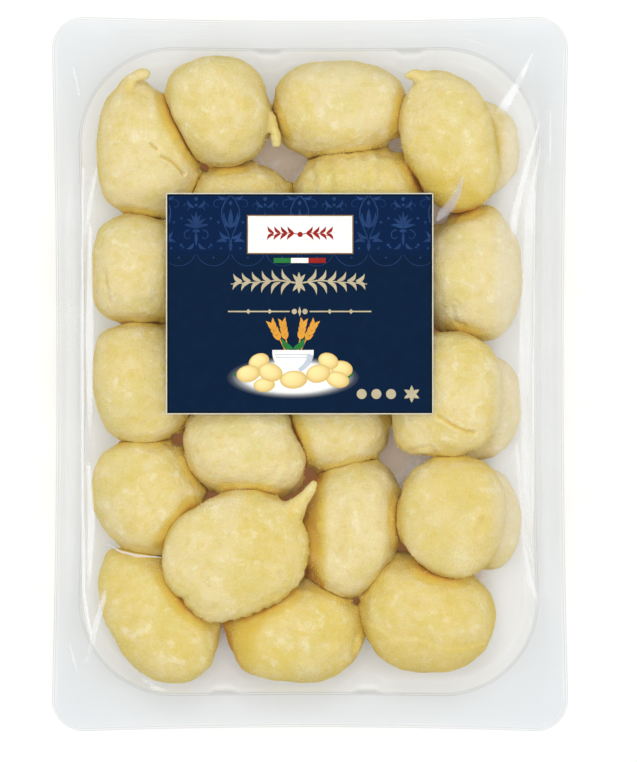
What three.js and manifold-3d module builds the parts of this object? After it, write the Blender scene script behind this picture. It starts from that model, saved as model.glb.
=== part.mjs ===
// A sealed clear tray of large potato gnocchi, lying on its base.
// Millimetres, +Z up, +Y along the tray, origin at the middle of the base.
import * as THREE from 'three';
import { mergeVertices } from 'three/addons/utils/BufferGeometryUtils.js';
import Module from 'manifold-3d';

const wasm = await Module();
wasm.setup();

// ---- Driving dimensions ---------------------------------------------------

const SHEET = 0.6; // thickness of the formed tray sheet
const INNER_DEPTH = 36; // tray floor to sealing land
const LAND_Z = SHEET + INNER_DEPTH; // height of the sealing land

// Outlines are rounded rectangles whose sides bow inwards by bowX and bowY at mid-side.
const RIM = { halfX: 77.5, halfY: 107.2, corner: 9.8, bowX: 1.4, bowY: 1.2, x: 0, y: 0 };
const MOUTH = { halfX: 68.2, halfY: 96.5, corner: 28, bowX: 1.2, bowY: 0.4, x: -0.4, y: 0.7 };
const DRAFT = 2; // how far the walls lean in from the mouth to the floor
const FLOOR_FILLET = 3;

const LAND_WIDTH = 3; // raised sealing land round the mouth
const LAND_STEP = 0.5; // how far the outer flange lies below the land
const MOUTH_ROUND = 0.6; // rounding where the wall turns into the land
const LIP_DROP = 1.6; // turned-down outer lip, below the flange
const LIP_ROUND = 0.5;

const RIB = { foot: 5, crest: 3.2, depth: 2.4, top: 4 }; // half widths, depth, start below the land
const TOP_RIBS = [-12.5, 30]; // X of the ribs in the +Y end wall
const BOTTOM_RIBS = [-26, 17]; // X of the ribs in the -Y end wall
const SIDE_STATIONS = [-60, -30, 0, 30, 60]; // points along the side walls
const ARC_STEPS = 6; // facets in a rounded corner

const FILM = { inset: 1.5, thickness: 0.3, z: LAND_Z + 0.05 };
const LABEL = { width: 80.2, length: 66.4, thickness: 0.3, x: -3.1, y: 21.1, corner: 0.5 };
const LABEL_Z = FILM.z + FILM.thickness + 0.05;

const REST_GAP = 0.2; // between a gnocco and the tray floor or the film
const WALL_GAP = 0.35; // between a gnocco and the tray wall
const TOUCH_GAP = 0.3; // between two gnocchi pressed together
const SAG = 0.46; // height of a gnocco's middle, as a share of its height
const SQUARENESS = 2.3; // superellipsoid exponent, 2 is an ellipsoid
const BLEND = 14; // how tightly the skin turns at a flattened place
const DETAIL = 3; // icosahedron subdivision of a gnocco
const NEIGHBOUR_REACH = 1.3; // how far a neighbour is looked for, in summed half lengths
const LUMPS = { count: 5, height: 0.013, slowest: 1.6, quicker: 1.3 }; // waves over the skin

// Each gnocco: middle in plan, size (long, across, tall), underside above the tray floor,
// direction of its long axis from +X and roll about that axis, in degrees, and how much
// narrower its far end is, as a share of the width.
const GNOCCHI = [
  { x: -49.5, y: 67.8, size: [44, 32.5, 29], rest: 0, turn: 102, taper: 0.22 },
  { x: -27.6, y: 80.2, size: [35.5, 32, 31], rest: 5, turn: 115 },
  { x: 8.5, y: 80.3, size: [41, 30.5, 31], rest: 1.5, turn: 3 },
  { x: 41.7, y: 69.8, size: [44, 29.6, 23], rest: 12.5, turn: 104, roll: -12 },
  { x: 50.3, y: 68, size: [32, 26.5, 19], rest: 0, turn: 90 },
  { x: -20.6, y: 48.5, size: [33.5, 32, 28], rest: 0, turn: 0 },
  { x: 15.2, y: 53, size: [40.5, 31.5, 33], rest: 0, turn: 0 },
  { x: -52, y: 31.5, size: [34, 32.8, 32.5], rest: 0, turn: 90 },
  { x: 48.7, y: 31, size: [43, 30.5, 33], rest: 0, turn: 95 },
  { x: -50.8, y: -2.5, size: [39, 33, 32], rest: 0, turn: 97 },
  { x: 41, y: -5.7, size: [39, 34.3, 22.5], rest: 13, turn: 90, roll: -10 },
  { x: 50.5, y: -10.3, size: [31.5, 27, 19], rest: 0, turn: 90 },
  { x: -48.9, y: -37, size: [38.5, 33.2, 30], rest: 0, turn: 110 },
  { x: -19, y: -21.2, size: [39.6, 34, 30], rest: 3.5, turn: 160 },
  { x: 7.3, y: -13.6, size: [35, 33.5, 29], rest: 0, turn: 90 },
  { x: 42.5, y: -43, size: [38.3, 33, 21.5], rest: 14, turn: 80, roll: -10 },
  { x: 51, y: -43.5, size: [32.5, 26, 19], rest: 0, turn: 90 },
  { x: 12.2, y: -46.6, size: [44.5, 31, 31], rest: 0, turn: 84 },
  { x: -22.3, y: -54.7, size: [45.5, 38.5, 22], rest: 13.5, turn: 25 },
  { x: -45.4, y: -73.4, size: [47.5, 31.5, 29], rest: 0, turn: 126, taper: 0.1 },
  { x: -5, y: -78.2, size: [44, 32.5, 28], rest: 0, turn: 3 },
  { x: 35.5, y: -73, size: [41.5, 34.6, 31], rest: 0, turn: 170 },
  { x: -20.3, y: 14, size: [35.2, 32, 31], rest: 0, turn: 80 },
  { x: 11, y: 20.3, size: [35.2, 32.5, 33], rest: 0, turn: 30 },
];

// Pulled tips of dough: which gnocco (counted from 1), then points x, y, z and radius.
const TIPS = [
  { gnocco: 1, path: [
    [-54.5, 83, 17, 5], [-55, 87, 20, 3.4], [-53.6, 89.4, 22, 2],
    [-51.2, 90.4, 23, 1.5], [-49, 90.4, 23.5, 0.8],
  ] },
  { gnocco: 2, path: [
    [-15, 79.5, 23, 2.4], [-12, 77.5, 25, 1.4], [-11, 74, 25, 1.1],
    [-10.3, 71, 24.5, 1.4], [-10, 68.6, 24, 1.1],
  ] },
  { gnocco: 4, path: [
    [39.5, 84, 25, 6], [36.5, 87.6, 26, 3.8], [33.5, 89.3, 26.5, 2.4],
    [31, 90, 26.5, 1.6], [28.6, 89.9, 26.5, 0.7],
  ] },
  { gnocco: 19, path: [
    [-7, -43, 26, 4.5], [-4.2, -40.2, 28.5, 3.2], [-1.6, -37.4, 30, 2],
    [0.3, -34.6, 31, 1.5], [1.5, -32.3, 31.5, 0.8],
  ] },
];
const TIP_SIDES = 8;

// ---- Materials ------------------------------------------------------------

const CLEAR = { color: '#e6e7e6', roughness: 0.12, metalness: 0, transparent: true, opacity: 0.3 };
const MATERIALS = {
  tray: new THREE.MeshStandardMaterial(CLEAR),
  film: new THREE.MeshStandardMaterial({ ...CLEAR, roughness: 0.06, opacity: 0.15 }),
  label: new THREE.MeshStandardMaterial({ color: '#112641', roughness: 0.45, metalness: 0 }),
  gnocco: new THREE.MeshStandardMaterial({ color: '#e7d38f', roughness: 0.65, metalness: 0 }),
};

// ---- Closed meshes --------------------------------------------------------

function signedVolume(positions, index) {
  const [a, b, c] = [new THREE.Vector3(), new THREE.Vector3(), new THREE.Vector3()];
  let volume = 0;
  for (let i = 0; i < index.length; i += 3) {
    a.fromArray(positions, 3 * index[i]);
    b.fromArray(positions, 3 * index[i + 1]);
    c.fromArray(positions, 3 * index[i + 2]);
    volume += a.dot(b.cross(c)) / 6;
  }
  return volume;
}

function closedGeometry(positions, index) {
  if (signedVolume(positions, index) < 0) index.reverse();
  const geometry = new THREE.BufferGeometry();
  geometry.setAttribute('position', new THREE.Float32BufferAttribute(positions, 3));
  geometry.setIndex(index);
  geometry.computeVertexNormals();
  return geometry;
}

// Skins a row of rings that have equal numbers of points, and closes both ends with a fan.
function loft(rings) {
  const count = rings[0].length;
  const positions = rings.flat().flatMap((point) => point.toArray());
  const index = [];
  for (let ring = 0; ring + 1 < rings.length; ring += 1) {
    for (let i = 0; i < count; i += 1) {
      const near = ring * count + i;
      const next = ring * count + ((i + 1) % count);
      index.push(near, next, next + count, near, next + count, near + count);
    }
  }
  [0, rings.length - 1].forEach((ring) => {
    const middle = new THREE.Vector3();
    rings[ring].forEach((point) => middle.addScaledVector(point, 1 / count));
    const hub = positions.length / 3;
    positions.push(...middle.toArray());
    for (let i = 0; i < count; i += 1) {
      const near = ring * count + i;
      const next = ring * count + ((i + 1) % count);
      index.push(...(ring === 0 ? [hub, next, near] : [hub, near, next]));
    }
  });
  return closedGeometry(positions, index);
}

function toManifold(geometry) {
  const bare = geometry.clone();
  bare.deleteAttribute('normal');
  bare.deleteAttribute('uv');
  const merged = mergeVertices(bare);
  const vertProperties = Float32Array.from(merged.attributes.position.array);
  const triVerts = Uint32Array.from(merged.index.array);
  return new wasm.Manifold(new wasm.Mesh({ numProp: 3, vertProperties, triVerts }));
}

function fromManifold(solid) {
  const mesh = solid.getMesh();
  return closedGeometry(Array.from(mesh.vertProperties), Array.from(mesh.triVerts));
}

// ---- Tray, film and label -------------------------------------------------

const grown = (shape, by) => ({
  ...shape, halfX: shape.halfX + by, halfY: shape.halfY + by, corner: shape.corner + by,
});

const bow = (along, half) => 1 - (along / half) ** 2;

// Points along an end wall: four for each rib, of which the middle two stand out.
const endStations = (ribs) => ribs.flatMap((middle) => [
  { at: middle - RIB.foot, ribbed: 0 },
  { at: middle - RIB.crest, ribbed: 1 },
  { at: middle + RIB.crest, ribbed: 1 },
  { at: middle + RIB.foot, ribbed: 0 },
]);

// The outline at one height, anticlockwise from the -Y end of the +X side.
function outline(shape, z, ribDepth = 0) {
  const straightX = shape.halfX - shape.corner;
  const straightY = shape.halfY - shape.corner;
  const points = [];
  const add = (x, y) => points.push(new THREE.Vector3(shape.x + x, shape.y + y, z));
  const arc = (signX, signY, from) => {
    for (let step = 0; step <= ARC_STEPS; step += 1) {
      const angle = from + (Math.PI / 2) * (step / ARC_STEPS);
      add(signX * straightX + shape.corner * Math.cos(angle),
        signY * straightY + shape.corner * Math.sin(angle));
    }
  };
  const side = (sign) => SIDE_STATIONS.forEach((station) => {
    add(sign * (shape.halfX - shape.bowX * bow(station, straightY)), sign * station);
  });
  const end = (sign, ribs) => endStations(ribs)
    .sort((a, b) => sign * (b.at - a.at))
    .forEach(({ at, ribbed }) => {
      add(at, sign * (shape.halfY - shape.bowY * bow(at, straightX) - ribDepth * ribbed));
    });
  side(1);
  arc(1, 1, 0);
  end(1, TOP_RIBS);
  arc(-1, 1, Math.PI / 2);
  side(-1);
  arc(-1, -1, Math.PI);
  end(-1, BOTTOM_RIBS);
  arc(1, -1, -Math.PI / 2);
  return points;
}

const leanAt = (z) => -DRAFT * (1 - (z - SHEET) / INNER_DEPTH);

function trayGeometry() {
  const wall = (z, outwards, ribDepth) => outline(grown(MOUTH, leanAt(z) + outwards), z, ribDepth);
  const mouth = (outwards, z) => outline(grown(MOUTH, outwards), z);
  const rim = (inwards, z) => outline(grown(RIM, -inwards), z);
  const flangeZ = LAND_Z - LAND_STEP;
  const lipZ = flangeZ - LIP_DROP;
  const ribTop = LAND_Z - RIB.top;
  const fillet = FLOOR_FILLET;
  const diagonal = fillet * (1 - Math.SQRT1_2); // the fillet's 45 degree point from its two faces
  return loft([
    wall(0, SHEET - fillet, RIB.depth),
    wall(diagonal, SHEET - diagonal, RIB.depth),
    wall(fillet, SHEET, RIB.depth),
    wall(ribTop, SHEET, RIB.depth),
    wall(LAND_Z - SHEET - MOUTH_ROUND, SHEET, 0),
    mouth(MOUTH_ROUND + SHEET, LAND_Z - SHEET),
    mouth(LAND_WIDTH - SHEET, LAND_Z - SHEET),
    mouth(LAND_WIDTH, flangeZ - SHEET),
    rim(LIP_ROUND + SHEET, flangeZ - SHEET),
    rim(SHEET, lipZ),
    rim(0, lipZ),
    rim(0, flangeZ - LIP_ROUND),
    rim(LIP_ROUND, flangeZ),
    mouth(LAND_WIDTH + SHEET, flangeZ),
    mouth(LAND_WIDTH, LAND_Z),
    mouth(MOUTH_ROUND, LAND_Z),
    wall(LAND_Z - MOUTH_ROUND, 0, 0),
    wall(ribTop, 0, RIB.depth),
    wall(SHEET + fillet, 0, RIB.depth),
    wall(SHEET + diagonal, -diagonal, RIB.depth),
    wall(SHEET, -fillet, RIB.depth),
  ]);
}

function filmGeometry() {
  const shape = grown(RIM, -FILM.inset);
  return loft([outline(shape, FILM.z), outline(shape, FILM.z + FILM.thickness)]);
}

function labelGeometry() {
  const shape = new THREE.Shape();
  const [halfX, halfY, corner] = [LABEL.width / 2, LABEL.length / 2, LABEL.corner];
  shape.absarc(halfX - corner, halfY - corner, corner, 0, Math.PI / 2);
  shape.absarc(corner - halfX, halfY - corner, corner, Math.PI / 2, Math.PI);
  shape.absarc(corner - halfX, corner - halfY, corner, Math.PI, 1.5 * Math.PI);
  shape.absarc(halfX - corner, corner - halfY, corner, 1.5 * Math.PI, 2 * Math.PI);
  return new THREE.ExtrudeGeometry(shape, { depth: LABEL.thickness, bevelEnabled: false, curveSegments: 2 });
}

// ---- Gnocchi --------------------------------------------------------------

// Turns a table row into a middle, half axes, an orientation and a shape matrix whose
// quadratic form is the squared reach of the ellipsoid along a direction.
function placed({ x, y, size, rest, turn, roll = 0, taper = 0 }) {
  const middle = new THREE.Vector3(x, y, SHEET + rest + SAG * size[2]);
  const half = new THREE.Vector3(...size).multiplyScalar(0.5);
  const facing = new THREE.Euler(
    THREE.MathUtils.degToRad(roll), 0, THREE.MathUtils.degToRad(turn), 'ZYX');
  const rotation = new THREE.Matrix4().makeRotationFromEuler(facing);
  const turned = new THREE.Matrix3().setFromMatrix4(rotation);
  const squares = new THREE.Matrix3().set(half.x ** 2, 0, 0, 0, half.y ** 2, 0, 0, 0, half.z ** 2);
  const form = turned.clone().multiply(squares).multiply(turned.clone().transpose());
  return { middle, half, rotation, form, taper };
}

const reach = (piece, normal) => Math.sqrt(normal.dot(normal.clone().applyMatrix3(piece.form)));

// A flat that the piece stays behind: its outward normal and its distance from the middle.
function planeTowards(piece, other) {
  const apart = other.middle.clone().sub(piece.middle);
  const sum = new THREE.Matrix3();
  sum.elements = piece.form.elements.map((value, i) => value + other.form.elements[i]);
  const normal = apart.clone().applyMatrix3(sum.invert()).normalize();
  const [own, theirs] = [reach(piece, normal), reach(other, normal)];
  const distance = ((normal.dot(apart) - TOUCH_GAP) * own) / (own + theirs);
  return { normal, distance };
}

// Flats that stand for the leaning walls round a piece: four sides, and facets of the corners.
function wallPlanes(piece) {
  const slope = DRAFT / INNER_DEPTH;
  const [straightX, straightY] = [MOUTH.halfX - MOUTH.corner, MOUTH.halfY - MOUTH.corner];
  const alongY = piece.middle.y - MOUTH.y;
  return Array.from({ length: 4 * ARC_STEPS }, (_, step) => {
    const angle = (2 * Math.PI * step) / (4 * ARC_STEPS);
    const flat = new THREE.Vector3(Math.cos(angle), Math.sin(angle), 0);
    const isSide = step % (2 * ARC_STEPS) === 0;
    const bowed = isSide ? Math.max(MOUTH.bowX * bow(alongY, straightY), 0) : 0;
    const mouthReach = MOUTH.x * flat.x + MOUTH.y * flat.y + MOUTH.corner - bowed
      + Math.abs(flat.x) * straightX + Math.abs(flat.y) * straightY;
    const atMiddle = mouthReach - slope * (LAND_Z - piece.middle.z) - WALL_GAP;
    const normal = new THREE.Vector3(flat.x, flat.y, -slope).normalize();
    return { normal, distance: (atMiddle - flat.dot(piece.middle)) * normal.dot(flat) };
  });
}

function seededRandom(seed) {
  let state = seed;
  return () => {
    state = (Math.imul(state, 1664525) + 1013904223) >>> 0;
    return state / 2 ** 32;
  };
}

// Slow waves over the skin that make each gnocco uneven in its own way.
function lumps(seed) {
  const random = seededRandom(seed);
  const waves = Array.from({ length: LUMPS.count }, (_, i) => ({
    axis: new THREE.Vector3(random() - 0.5, random() - 0.5, random() - 0.5).normalize(),
    pitch: LUMPS.slowest + LUMPS.quicker * i,
    phase: 2 * Math.PI * random(),
  }));
  return (direction) => waves.reduce(
    (sum, wave) => sum + LUMPS.height * Math.sin(wave.pitch * wave.axis.dot(direction) + wave.phase), 1);
}

function superellipsoidRadius(direction, { half, taper }) {
  const across = Math.abs(direction.y / (half.y * (1 - taper * direction.x)));
  const sum = Math.abs(direction.x / half.x) ** SQUARENESS
    + across ** SQUARENESS
    + Math.abs(direction.z / half.z) ** SQUARENESS;
  return sum ** (-1 / SQUARENESS);
}

// The smallest of several radii, rounded off where two of them meet.
const softMin = (radii) => radii.reduce((sum, radius) => sum + radius ** -BLEND, 0) ** (-1 / BLEND);

const radiusTo = ({ normal, distance }, direction) => {
  const facing = normal.dot(direction);
  return facing > 1e-6 ? distance / facing : Infinity;
};

function gnoccoGeometry(piece, others, seed) {
  const up = new THREE.Vector3(0, 0, 1);
  const flats = others.map((other) => planeTowards(piece, other));
  flats.push({ normal: up, distance: FILM.z - REST_GAP - piece.middle.z });
  flats.push({ normal: up.clone().negate(), distance: piece.middle.z - SHEET - REST_GAP });
  const walls = wallPlanes(piece);
  const uneven = lumps(seed);

  const ball = new THREE.IcosahedronGeometry(1, DETAIL);
  ball.deleteAttribute('normal');
  ball.deleteAttribute('uv');
  const geometry = mergeVertices(ball);
  const { position } = geometry.attributes;
  const local = new THREE.Vector3();
  const direction = new THREE.Vector3();
  for (let i = 0; i < position.count; i += 1) {
    local.fromBufferAttribute(position, i).multiply(piece.half).normalize();
    direction.copy(local).transformDirection(piece.rotation);
    const own = superellipsoidRadius(local, piece) * uneven(local);
    const wall = Math.min(...walls.map((plane) => radiusTo(plane, direction)));
    const radius = softMin([own, wall, ...flats.map((plane) => radiusTo(plane, direction))]);
    direction.multiplyScalar(radius);
    position.setXYZ(i, direction.x, direction.y, direction.z);
  }
  geometry.computeVertexNormals();
  return geometry;
}

// A tapering round tip along a smooth path, about the gnocco's own middle.
function tipGeometry(path, middle) {
  const points = path.map(([x, y, z]) => new THREE.Vector3(x, y, z).sub(middle));
  const curve = new THREE.CatmullRomCurve3(points);
  const steps = 2 * (path.length - 1);
  const frames = curve.computeFrenetFrames(steps);
  const rings = [];
  for (let step = 0; step <= steps; step += 1) {
    const at = step / 2;
    const low = Math.floor(at);
    const high = Math.min(low + 1, path.length - 1);
    const radius = THREE.MathUtils.lerp(path[low][3], path[high][3], at - low);
    const centre = curve.getPoint(step / steps);
    rings.push(Array.from({ length: TIP_SIDES }, (_, i) => {
      const angle = (2 * Math.PI * i) / TIP_SIDES;
      return centre.clone()
        .addScaledVector(frames.normals[step], radius * Math.cos(angle))
        .addScaledVector(frames.binormals[step], radius * Math.sin(angle));
    }));
  }
  return loft(rings);
}

function withTips(geometry, number, middle) {
  const tips = TIPS.filter((tip) => tip.gnocco === number);
  if (tips.length === 0) return geometry;
  const joined = tips.reduce(
    (solid, tip) => solid.add(toManifold(tipGeometry(tip.path, middle))), toManifold(geometry));
  return fromManifold(joined);
}

// ---- The object -----------------------------------------------------------

const pack = new THREE.Group();

function addMesh(name, geometry, material, position = new THREE.Vector3()) {
  const mesh = new THREE.Mesh(geometry, material);
  mesh.name = name;
  mesh.position.copy(position);
  pack.add(mesh);
}

addMesh('tray', trayGeometry(), MATERIALS.tray);
addMesh('lid_film', filmGeometry(), MATERIALS.film);
addMesh('label', labelGeometry(), MATERIALS.label, new THREE.Vector3(LABEL.x, LABEL.y, LABEL_Z));

const pieces = GNOCCHI.map(placed);
const longest = (piece) => Math.max(piece.half.x, piece.half.y, piece.half.z);
pieces.forEach((piece, i) => {
  const others = pieces.filter((other) => other !== piece
    && other.middle.distanceTo(piece.middle) < NEIGHBOUR_REACH * (longest(piece) + longest(other)));
  const number = i + 1;
  const body = gnoccoGeometry(piece, others, number);
  const name = `gnocco_${String(number).padStart(2, '0')}`;
  addMesh(name, withTips(body, number, piece.middle), MATERIALS.gnocco, piece.middle);
});

export default pack;
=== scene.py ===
"""A sealed clear tray of potato gnocchi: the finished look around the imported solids.

Lengths are in millimetres and become metres where a mesh is made. +Z is up out of the
film, and +Y points to the end of the tray that the label is nearer to.
"""

import math
from collections import namedtuple

import bmesh
import bpy
import numpy as np
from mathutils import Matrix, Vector, geometry, noise
from mathutils.bvhtree import BVHTree


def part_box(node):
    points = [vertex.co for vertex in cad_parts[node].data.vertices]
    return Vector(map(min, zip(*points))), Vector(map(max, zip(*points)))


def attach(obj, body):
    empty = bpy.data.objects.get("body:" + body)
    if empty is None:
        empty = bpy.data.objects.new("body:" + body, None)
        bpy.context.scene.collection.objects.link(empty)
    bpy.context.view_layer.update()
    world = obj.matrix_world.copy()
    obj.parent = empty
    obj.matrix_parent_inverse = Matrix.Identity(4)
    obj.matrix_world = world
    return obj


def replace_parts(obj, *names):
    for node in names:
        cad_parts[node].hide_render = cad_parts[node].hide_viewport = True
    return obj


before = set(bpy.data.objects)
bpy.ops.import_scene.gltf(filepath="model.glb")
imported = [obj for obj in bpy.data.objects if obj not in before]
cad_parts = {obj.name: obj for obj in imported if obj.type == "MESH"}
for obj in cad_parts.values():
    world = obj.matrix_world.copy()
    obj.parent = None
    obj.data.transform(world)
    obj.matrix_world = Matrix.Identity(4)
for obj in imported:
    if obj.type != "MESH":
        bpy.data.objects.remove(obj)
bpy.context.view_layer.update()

MM = 0.001

# ---- Sizes of the tray and film ---------------------------------------------

SHEET = 0.6
INNER_DEPTH = 36
LAND_Z = SHEET + INNER_DEPTH
FILM_Z = LAND_Z + 0.05
HIGHEST = 37.26  # nothing of the film reaches above this

Shape = namedtuple("Shape", "half_x half_y corner bow_x bow_y x y")
RIM = Shape(77.5, 107.2, 9.8, 1.4, 1.2, 0, 0)
MOUTH = Shape(68.2, 96.5, 28, 1.2, 0.4, -0.4, 0.7)
DRAFT = 2
FLOOR_FILLET = 3
LAND_WIDTH = 3
LAND_STEP = 0.5
MOUTH_ROUND = 0.6
LIP_DROP = 1.6
LIP_ROUND = 0.5
KNURL_PITCH = 1.0  # the seal leaves faint dots on the rim
RIB_FOOT, RIB_CREST, RIB_DEPTH, RIB_TOP = 5, 3.2, 2.4, 4
RIB_FADE = [(0, 1), (1, 0.85), (1.9, 0.45), (2.6, 0.12)]  # height over the rib's top, share of its depth
TOP_RIBS = (-12.5, 30)
BOTTOM_RIBS = (-26, 17)
SIDE_STEPS, END_STEPS, ARC_STEPS = 44, 96, 20

# ---- Colours, as they look on a screen --------------------------------------

PALE_DOUGH = (235, 217, 160)
YELLOW_DOUGH = (227, 203, 110)
LEMON_DOUGH = (223, 206, 120)
# Golden: the dough's own tone in scuffs and grains, and also painted shade near neighbours and on the
# flanks.
GOLDEN_DOUGH = (220, 190, 76)
# Painted shade: the orange deep in the gaps between the pieces.
GAP_SHADE_DOUGH = (206, 134, 24)
FLOUR = (250, 242, 214)
# Fallen semolina, peach so that it also paints warm bounce light on the floor.
FALLEN_SEMOLINA_AND_WARMTH = (248, 222, 186)
# Painted shade: the terracotta of the narrow gaps, on the floor under the heap.
GAP_SHADE_TERRACOTTA = (226, 164, 104)
SEMOLINA = (243, 222, 150)
NAVY = (9, 32, 59)
BAND_NAVY = (7, 32, 67)
DAMASK_BLUE = (38, 66, 112)
FRAME_BLACK = (6, 12, 14)
GOLD = (196, 184, 152)
BRONZE = (150, 118, 78)
IVORY = (250, 250, 244)
PAPER = (214, 212, 198)
WINE = (158, 40, 36)
LEAF_GREEN = (44, 122, 62)
CREAM = (244, 226, 160)
CREAM_SHADE = (214, 178, 98)
OCHRE = (226, 160, 62)
BOWL_SHADE = (196, 204, 214)

# ---- Small helpers ----------------------------------------------------------

CORNERS = ((1, 1), (-1, 1), (-1, -1), (1, -1))  # the signs of a box's corners, anticlockwise


def linear(colour):
    """A screen colour, 0 to 255, as the linear RGBA that shaders take."""
    shares = [value / 255 for value in colour]
    return (*[s / 12.92 if s <= 0.04045 else ((s + 0.055) / 1.055) ** 2.4 for s in shares], 1)


def smooth_step(low, high, value):
    share = np.clip((value - low) / (high - low), 0, 1)
    return share * share * (3 - 2 * share)


def noise_at(points, size, seed):
    """Smooth noise from -1 to 1 with bumps about size across, one value for each point."""
    shift = Vector((seed * 7.31, seed * 3.17, seed * 5.53))
    return np.array([noise.noise(Vector(p) / size + shift) for p in points])


def on_path(plan, path):
    """Distance of each point to a path, positive on its left, and where on the path it lies
    nearest: 0 at the path's first point, 1 at its second, and so on."""
    best = np.full(len(plan), np.inf)
    signed, station = np.zeros(len(plan)), np.zeros(len(plan))
    for step, (start, stop) in enumerate(zip(path, path[1:])):
        edge = np.subtract(stop, start)
        away = plan - start
        share = np.clip(away @ edge / (edge @ edge), 0, 1)
        distance = np.linalg.norm(away - share[:, None] * edge, axis=1)
        side = np.sign(edge[0] * away[:, 1] - edge[1] * away[:, 0])
        closer = distance < best
        best = np.where(closer, distance, best)
        signed = np.where(closer, side * distance, signed)
        station = np.where(closer, step + share, station)
    return signed, station


def ribbon(path, half_widths):
    """The outline of a strip along a path, with half its width at each point of it."""
    along = np.gradient(path, axis=0)
    across = np.column_stack([-along[:, 1], along[:, 0]])
    across *= (half_widths / np.linalg.norm(across, axis=1))[:, None]
    return np.vstack([path + across, (path - across)[::-1]])


def corner_arc(turn, half_x, half_y, corner, shares):
    """Points on a rounded corner of a box, at these shares of its quarter turn."""
    angles = np.pi / 2 * (turn + shares)
    sign_x, sign_y = CORNERS[turn]
    return np.column_stack([sign_x * (half_x - corner) + corner * np.cos(angles),
                            sign_y * (half_y - corner) + corner * np.sin(angles)])


def raised(plan, z):
    return np.column_stack([plan, np.full(len(plan), z)])


def skin(rings):
    """Quads between neighbouring rings, and a flat face on the first and the last."""
    count = len(rings[0])
    last = (len(rings) - 1) * count
    faces = [tuple(reversed(range(count))), tuple(range(last, last + count))]
    for start in range(0, last, count):
        for i in range(count):
            near, after = start + i, start + (i + 1) % count
            faces.append((near, after, after + count, near + count))
    return np.vstack(rings), faces


def plate(shape, low, high):
    """A closed flat plate over any outline."""
    count = len(shape)
    flat = [Vector((x, y, 0)) for x, y in shape]
    area = sum(a.x * b.y - b.x * a.y for a, b in zip(flat, flat[1:] + flat[:1]))
    faces = []
    for a, b, c in geometry.tessellate_polygon([flat]):
        turn = (flat[b] - flat[a]).cross(flat[c] - flat[a]).z
        up = (a, b, c) if turn > 0 else (a, c, b)
        faces += [up[::-1], tuple(count + i for i in up)]
    for i in range(count):
        j = (i + 1) % count
        side = (i, j, count + j, count + i)
        faces.append(side if area > 0 else side[::-1])
    return np.vstack([raised(shape, low), raised(shape, high)]), faces


def joined(parts):
    """The points and faces of several parts as one."""
    points, faces, start = [], [], 0
    for part_points, part_faces in parts:
        points.append(part_points)
        faces += [tuple(start + i for i in face) for face in part_faces]
        start += len(part_points)
    return np.vstack(points), faces


def mesh_from(name, points, faces, smooth=True):
    """A mesh from points in millimetres."""
    mesh = bpy.data.meshes.new(name)
    mesh.from_pydata((np.asarray(points, float) * MM).tolist(), [], faces)
    mesh.polygons.foreach_set("use_smooth", [smooth] * len(mesh.polygons))
    mesh.update()
    return mesh


def add_object(mesh, material, name=None):
    """Links a finished mesh to the scene as one piece of the pack."""
    made = bpy.data.objects.new(name or mesh.name, mesh)
    bpy.context.scene.collection.objects.link(made)
    mesh.materials.clear()
    mesh.materials.append(material)
    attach(made, "root")
    return made


def read(items, name, width=1, kind=float):
    """A named value of each item of a mesh, as rows of that width."""
    values = np.empty(len(items) * width, kind)
    items.foreach_get(name, values)
    return values.reshape(-1, width)


def store(mesh, name, *values):
    """Keeps up to three values for each vertex, which a material reads by name."""
    rows = np.zeros((len(mesh.vertices), 4), np.float32)
    rows[:, 3] = 1
    for channel, value in enumerate(values):
        rows[:, channel] = value
    mesh.color_attributes.new(name, "FLOAT_COLOR", "POINT").data.foreach_set("color", rows.ravel())


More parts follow.
